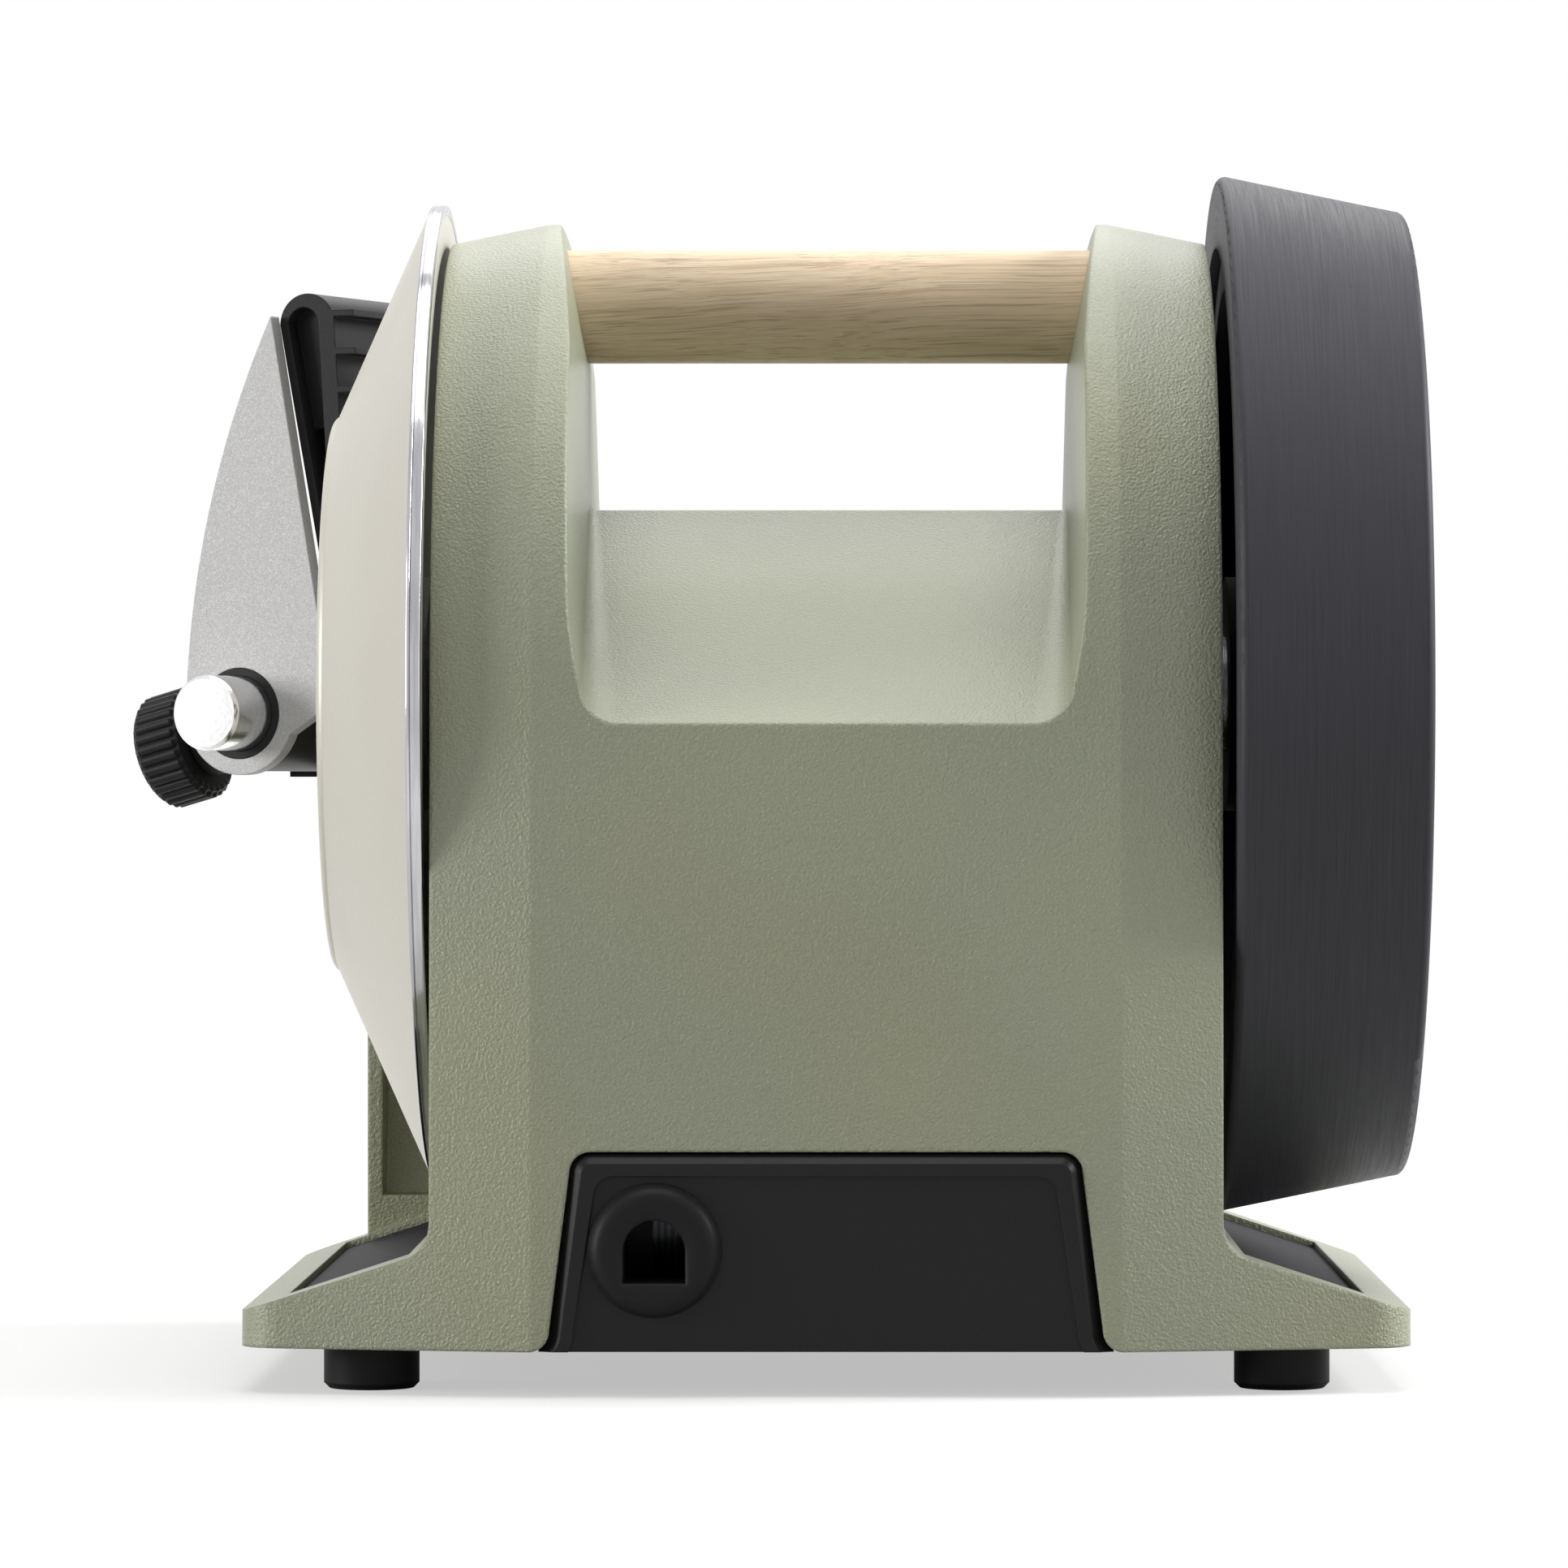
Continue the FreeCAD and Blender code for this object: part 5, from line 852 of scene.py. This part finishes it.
class SHARPENER_OT_bushing(bpy.types.Operator):
    """The ring-shaped cord bushing with its D-shaped way"""

    bl_idname = "sharpener.bushing"
    bl_label = "Cord bushing"

    def execute(self, context):
        look = context.scene.sharpener_bushing
        low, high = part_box("cord_bushing")
        middle = Vector(((low.x + high.x) / 2, high.y - look.rise, (low.z + high.z) / 2))
        tail = high.y - low.y - look.rise
        loops = bushing_loops(look, middle, tail)
        item = loop_surface("cord_bushing_ring", loops, finish_for("bushing_rubber"))
        finished(item, "bushing_rubber", BODIES["cord_bushing"], "cord_bushing")
        return {"FINISHED"}


# Least cosine that a distance is divided by
NEARLY_ZERO = 1e-6
# Steps over each side of the bushing's ring
RING_STEPS = 8
# Air between the ring and the panel
PANEL_GAP = 0.05 * MM
# Share of the tail at which the barb sits
BARB_PLACE = 0.62


def way_radius(angle, look):
    """Distance from the bushing's axis to the edge of its D-shaped way at an angle."""
    half = look.way_width / 2
    top = look.way_height - half
    across = math.cos(angle)
    up = -math.sin(angle)
    if up <= 0:
        return half
    return min(half / max(abs(across), NEARLY_ZERO), top / up)


def bushing_loops(look, middle, tail):
    """Loops round the bushing from the way's inner end over the ring and back along the neck."""
    quarter = [math.radians(90 * step / RING_STEPS) for step in range(RING_STEPS + 1)]
    corner = math.atan2(look.way_height - look.way_width / 2, look.way_width / 2)
    corners = (-corner % (2 * math.pi), math.pi + corner)
    barb_start = -BARB_PLACE * tail + look.barb / 2
    barb_end = -BARB_PLACE * tail - look.barb / 2
    rows = []
    for angle in full_turn(AROUND):
        nearest = min(corners, key=lambda mark: abs(mark - angle))
        if abs(nearest - angle) < math.pi / AROUND:
            angle = nearest
        inner = way_radius(angle, look)
        mouth = [(look.crown - (look.crown - inner) * math.cos(turn),
                  look.rise - look.lip * (1 - math.sin(turn))) for turn in quarter]
        shoulder = [(look.crown + (look.radius - look.crown) * math.sin(turn),
                     PANEL_GAP + (look.rise - PANEL_GAP) * math.cos(turn)) for turn in quarter[1:]]
        neck = [(look.neck, PANEL_GAP), (look.neck, barb_start), (look.neck + look.barb, barb_start),
                (look.neck + look.barb, barb_end), (look.neck, -tail)]
        rows.append([middle + Vector((radius * math.cos(angle), station, radius * math.sin(angle)))
                     for radius, station in ((inner, -tail), *mouth, *shoulder, *neck)])
    return rows


class SHARPENER_OT_diamond_wheel(bpy.types.Operator):
    """The coated cone and its polished rim"""

    bl_idname = "sharpener.diamond_wheel"
    bl_label = "Diamond wheel"

    def execute(self, context):
        look = context.scene.sharpener_diamond
        low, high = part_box("diamond_wheel")
        place = along((0, 0, (low.z + high.z) / 2), (1, 0, 0))
        radius = (high.z - low.z) / 2
        ring = lathe("diamond_rim", rim_section(look, radius, low.x), place, finish_for("rim_steel"))
        finished(ring, "diamond_steel", BODIES["diamond_wheel"], "diamond_wheel")
        section = cone_section(look, radius, low.x, high.x)
        cone = lathe("diamond_cone", section, place, finish_for("diamond_steel"))
        finished(cone, "diamond_steel", BODIES["diamond_wheel"], "diamond_wheel")
        return {"FINISHED"}


# Share of the rim's width at which its groove runs
GROOVE_PLACE = 0.72


def rim_section(look, radius, back):
    """Half section of the bright rim, with rounded edges and a fine groove."""
    inner = radius - look.rim_depth
    crest = radius - look.rim_round
    front = back + look.rim_width
    groove_at = back + GROOVE_PLACE * look.rim_width
    rim = [(inner, back), *arc((crest, back + look.rim_round), look.rim_round, -90, 0)]
    rim += [(radius, groove_at - look.groove), (radius - look.groove, groove_at)]
    rim += [(radius, groove_at + look.groove)]
    rim += [*arc((crest, front - look.rim_round), look.rim_round, 0, 90), (inner, front)]
    return rim


def cone_section(look, radius, back, front):
    """Half section of the coated cone: it starts behind the rim and ends at the bore."""
    face_radius = 41.6 * MM
    bend = 1.6 * MM
    wall = 5.0 * MM
    hub = 18.0 * MM
    recess = 13.5 * MM
    recess_round = 0.5 * MM
    bore = 6.05 * MM
    web_depth = 5.5 * MM
    gap = 0.1 * MM
    step = 0.5 * MM
    web = front - web_depth
    floor = front - 7.9 * MM
    hub_back = back + 2.6 * MM
    inner = radius - look.rim_depth
    edge = (radius - step, back + look.rim_width)
    slope = (edge[0] - face_radius) / (front - edge[1])
    lean = math.degrees(math.atan2(edge[0] - face_radius, front - edge[1]))
    reach = bend * math.tan(math.radians((90 - lean) / 2))
    cone = [(inner, back + gap), (inner, edge[1]), (edge[0] - gap, edge[1]), edge]
    cone += arc((face_radius - reach, front - bend), bend, 90 - lean, 90, steps=10)
    cone += [(recess + recess_round, front)]
    cone += arc((recess + recess_round, front - recess_round), recess_round, 90, 180, steps=4)
    cone += [(recess, floor), (bore, floor), (bore, hub_back), (hub, hub_back), (hub, web)]
    cone += [(face_radius - (wall - web_depth) * slope - wall, web), (inner - wall, back + gap)]
    return cone


class SHARPENER_OT_honing_wheel(bpy.types.Operator):
    """Composite ring, core, washers and bolts"""

    bl_idname = "sharpener.honing_wheel"
    bl_label = "Honing wheel and bolts"

    def execute(self, context):
        dress("honing_ring", "honing_core", "wheel_washers", "wheel_bolts")
        return {"FINISHED"}


class SHARPENER_OT_shaft(bpy.types.Operator):
    """Wheel shaft, bearings, collars and spacer"""

    bl_idname = "sharpener.shaft"
    bl_label = "Shaft and bearings"

    def execute(self, context):
        dress("wheel_shaft", "bearing_right", "bearing_left", "wheel_collar_right", "wheel_collar_left",
              "shaft_spacer")
        return {"FINISHED"}


class SHARPENER_OT_gears(bpy.types.Operator):
    """The gears and the plate that carries them"""

    bl_idname = "sharpener.gears"
    bl_label = "Gears"

    def execute(self, context):
        dress("main_gear", "idler_gear", "fast_pinion", "idler_axle", "idler_clip", "gear_plate",
              "gear_plate_screws")
        return {"FINISHED"}


class SHARPENER_OT_motor(bpy.types.Operator):
    """The motor, its fan and the electrical pieces"""

    bl_idname = "sharpener.motor"
    bl_label = "Motor and electrics"

    def execute(self, context):
        dress("stator_stack", "end_bell_right", "end_bell_left", "winding_right", "winding_left",
              "motor_bushes", "motor_bolts", "motor_shaft", "rotor", "cooling_fan", "run_capacitor",
              "capacitor_clip", "terminal_block")
        return {"FINISHED"}


class SHARPENER_OT_guide(bpy.types.Operator):
    """The knife guide, its bar and its arm"""

    bl_idname = "sharpener.guide"
    bl_label = "Knife guide"

    def execute(self, context):
        look = context.scene.sharpener_guide
        dress("guide_arm", "guide_arm_screws", "bar_set_screw", "angle_plate", "plate_screws", "guide_body",
              "clamp_screw")
        pivot, axis, points = about_joint("guide_bar", "guide_swing")
        stations = [point.dot(axis) for point in points]
        start = min(stations)
        radius = max(point.cross(axis).length for point in points)
        section = bar_section(look, radius, max(stations) - start)
        place = along(pivot + axis * start, axis)
        bar = lathe("guide_bar_ground", section, place, finish_for("bright_steel"), AROUND_SMALL)
        finished(bar, "bright_steel", BODIES["guide_bar"], "guide_bar")
        return {"FINISHED"}


def bar_section(look, radius, reach):
    """Half section of the guide bar: flat ends with a fine bevel, its corners rounded."""
    bevel = look.bar_bevel
    soft = look.bar_round
    pole = 0.01 * MM
    low = [(pole, 0), *arc((radius - bevel - soft, soft), soft, -90, -45, steps=3)]
    low += arc((radius - soft, bevel + soft), soft, -45, 0, steps=3)
    high = [(out, reach - station) for out, station in reversed(low)]
    return low + high


class SHARPENER_OT_knob(bpy.types.Operator):
    """The clamp knob with its rounded ridges"""

    bl_idname = "sharpener.knob"
    bl_label = "Clamp knob"

    def execute(self, context):
        look = context.scene.sharpener_knob
        pivot, axis, points = about_joint("clamp_knob", "knob_turn")
        start = min(point.dot(axis) for point in points)
        finish = finish_for("guide_plastic")
        core = lathe("knob_core", knob_section(look), Matrix.Identity(4), finish, AROUND_SMALL)
        ridge = loop_surface("knob_ridge", ridge_loops(look), finish)
        fluted = grow_ridges(core, ridge, look, finish)
        fluted.transform(along(pivot + axis * start, axis))
        for used in (core, ridge):
            bpy.data.objects.remove(used)
        item = bpy.data.objects.new("knob_grip", fluted)
        context.scene.collection.objects.link(item)
        finished(item, "guide_plastic", BODIES["clamp_knob"], "clamp_knob")
        return {"FINISHED"}


# Share of a ridge's width that stands out of the core
RIDGE_OUT = 0.42
RIDGE_SIDES = 14
# Size of a ridge's ends against its middle, and of the loops that close them
RIDGE_END = 0.5
RIDGE_TIP = 50


def knob_section(look):
    """Half section of the knob under its ridges, with the blind bore for the clamp screw."""
    core = look.radius - RIDGE_OUT * look.ridge_width
    edge = 0.4 * MM
    pole = 0.02 * MM
    face = 0.3 * core
    height = look.height
    bore_end = height - look.cap
    section = [(look.bore, 0), *arc((core - edge, edge), edge, -90, 0, steps=4)]
    section += arc((core - edge, height - edge), edge, 0, 90, steps=4)
    section += [(face, height), (pole, height), (pole, bore_end), (look.bore, bore_end)]
    return section


def ridge_loops(look):
    """Loops up one ridge along Z: a rounded rib with a bevel at both ends."""
    half = look.ridge_width / 2
    inset = 0.04 * MM
    top = look.height
    levels = ((inset, RIDGE_END), (look.bevel, 1), (top - look.bevel, 1), (top - inset, RIDGE_END))
    loops = []
    for height, scale in levels:
        loops.append([
            Vector((half * (scale - 1 + scale * math.cos(turn)), half * scale * math.sin(turn), height))
            for turn in full_turn(RIDGE_SIDES)])
    closed = []
    for loop in (loops[0], loops[-1]):
        middle = Vector((half * (RIDGE_END - 1), 0, loop[0].z))
        closed.append([middle + (point - middle) / RIDGE_TIP for point in loop])
    return [closed[0], *loops, closed[1]]


def grow_ridges(core, ridge, look, finish):
    """Sets copies of the ridge evenly round the core with geometry nodes and returns the plain mesh."""
    inputs = {
        "Core": ("NodeSocketObject", core),
        "Ridge": ("NodeSocketObject", ridge),
        "Ridges": ("NodeSocketInt", look.ridges),
        "Reach": ("NodeSocketFloat", look.radius - look.ridge_width / 2),
        "Finish": ("NodeSocketMaterial", finish),
    }
    tree = bpy.data.node_groups.new("Ridged knob", "GeometryNodeTree")
    sockets = {}
    for name, (kind, _) in inputs.items():
        sockets[name] = tree.interface.new_socket(name, in_out="INPUT", socket_type=kind).identifier
    tree.interface.new_socket("Geometry", in_out="OUTPUT", socket_type="NodeSocketGeometry")
    given = add_node(tree, "NodeGroupInput").outputs
    ridge_info = add_node(tree, "GeometryNodeObjectInfo", {"Object": given["Ridge"], "As Instance": True})
    core_info = add_node(tree, "GeometryNodeObjectInfo", {"Object": given["Core"], "As Instance": True})
    ring = add_node(tree, "GeometryNodeMeshCircle", {"Vertices": given["Ridges"], "Radius": given["Reach"]})
    place = add_node(tree, "GeometryNodeInputPosition").outputs["Position"]
    facing = add_node(tree, "FunctionNodeAlignRotationToVector", {"Vector": place}, axis="X")
    copies = add_node(tree, "GeometryNodeInstanceOnPoints", {
        "Points": ring.outputs["Mesh"],
        "Instance": ridge_info.outputs["Geometry"],
        "Rotation": facing.outputs["Rotation"],
    })
    joined = add_node(tree, "GeometryNodeJoinGeometry")
    for shape in (copies.outputs["Instances"], core_info.outputs["Geometry"]):
        tree.links.new(shape, joined.inputs["Geometry"])
    real = add_node(tree, "GeometryNodeRealizeInstances", {"Geometry": joined.outputs["Geometry"]})
    painted = add_node(tree, "GeometryNodeSetMaterial", {
        "Geometry": real.outputs["Geometry"], "Material": given["Finish"]})
    add_node(tree, "NodeGroupOutput", {"Geometry": painted.outputs["Geometry"]})

    holder = bpy.data.objects.new("knob_grower", bpy.data.meshes.new("knob_grower"))
    bpy.context.scene.collection.objects.link(holder)
    modifier = holder.modifiers.new("Ridges", "NODES")
    modifier.node_group = tree
    for name, (_, value) in inputs.items():
        modifier[sockets[name]] = value
    holder.update_tag()
    seen = bpy.context.evaluated_depsgraph_get()
    mesh = bpy.data.meshes.new_from_object(holder.evaluated_get(seen))
    if not mesh.polygons:
        raise RuntimeError("the knob came out empty")
    mesh.name = "knob_grip"
    bpy.data.objects.remove(holder)
    return mesh


class SHARPENER_PT_panel(bpy.types.Panel):
    """Lists the steps that dress the sharpener"""

    bl_idname = "SHARPENER_PT_panel"
    bl_label = "Knife sharpener"
    bl_space_type = "VIEW_3D"
    bl_region_type = "UI"
    bl_category = "Sharpener"

    def draw(self, context):
        for operator in OPERATORS:
            self.layout.operator(operator.bl_idname)


SETTINGS = {
    "sharpener_stage": StageSettings,
    "sharpener_housing": HousingSettings,
    "sharpener_handle": HandleSettings,
    "sharpener_diamond": DiamondSettings,
    "sharpener_honing": HoningSettings,
    "sharpener_trim": TrimSettings,
    "sharpener_guide": GuideSettings,
    "sharpener_knob": KnobSettings,
    "sharpener_bushing": BushingSettings,
}
OPERATORS = (
    SHARPENER_OT_stage,
    SHARPENER_OT_housing,
    SHARPENER_OT_handle,
    SHARPENER_OT_supports,
    SHARPENER_OT_panels,
    SHARPENER_OT_bushing,
    SHARPENER_OT_diamond_wheel,
    SHARPENER_OT_honing_wheel,
    SHARPENER_OT_shaft,
    SHARPENER_OT_gears,
    SHARPENER_OT_motor,
    SHARPENER_OT_guide,
    SHARPENER_OT_knob,
)


def register():
    for name, group in SETTINGS.items():
        bpy.utils.register_class(group)
        setattr(bpy.types.Scene, name, PointerProperty(type=group))
    for item in (*OPERATORS, SHARPENER_PT_panel):
        bpy.utils.register_class(item)


def unregister():
    for item in reversed((*OPERATORS, SHARPENER_PT_panel)):
        bpy.utils.unregister_class(item)
    for name, group in reversed(list(SETTINGS.items())):
        delattr(bpy.types.Scene, name)
        bpy.utils.unregister_class(group)


def main():
    """Dresses the frame piece by piece."""
    register()
    scene = bpy.context.scene
    scene.view_settings.view_transform = "Standard"
    for operator in OPERATORS:
        family, name = operator.bl_idname.split(".")
        getattr(getattr(bpy.ops, family), name)()


if __name__ == "__main__":
    main()
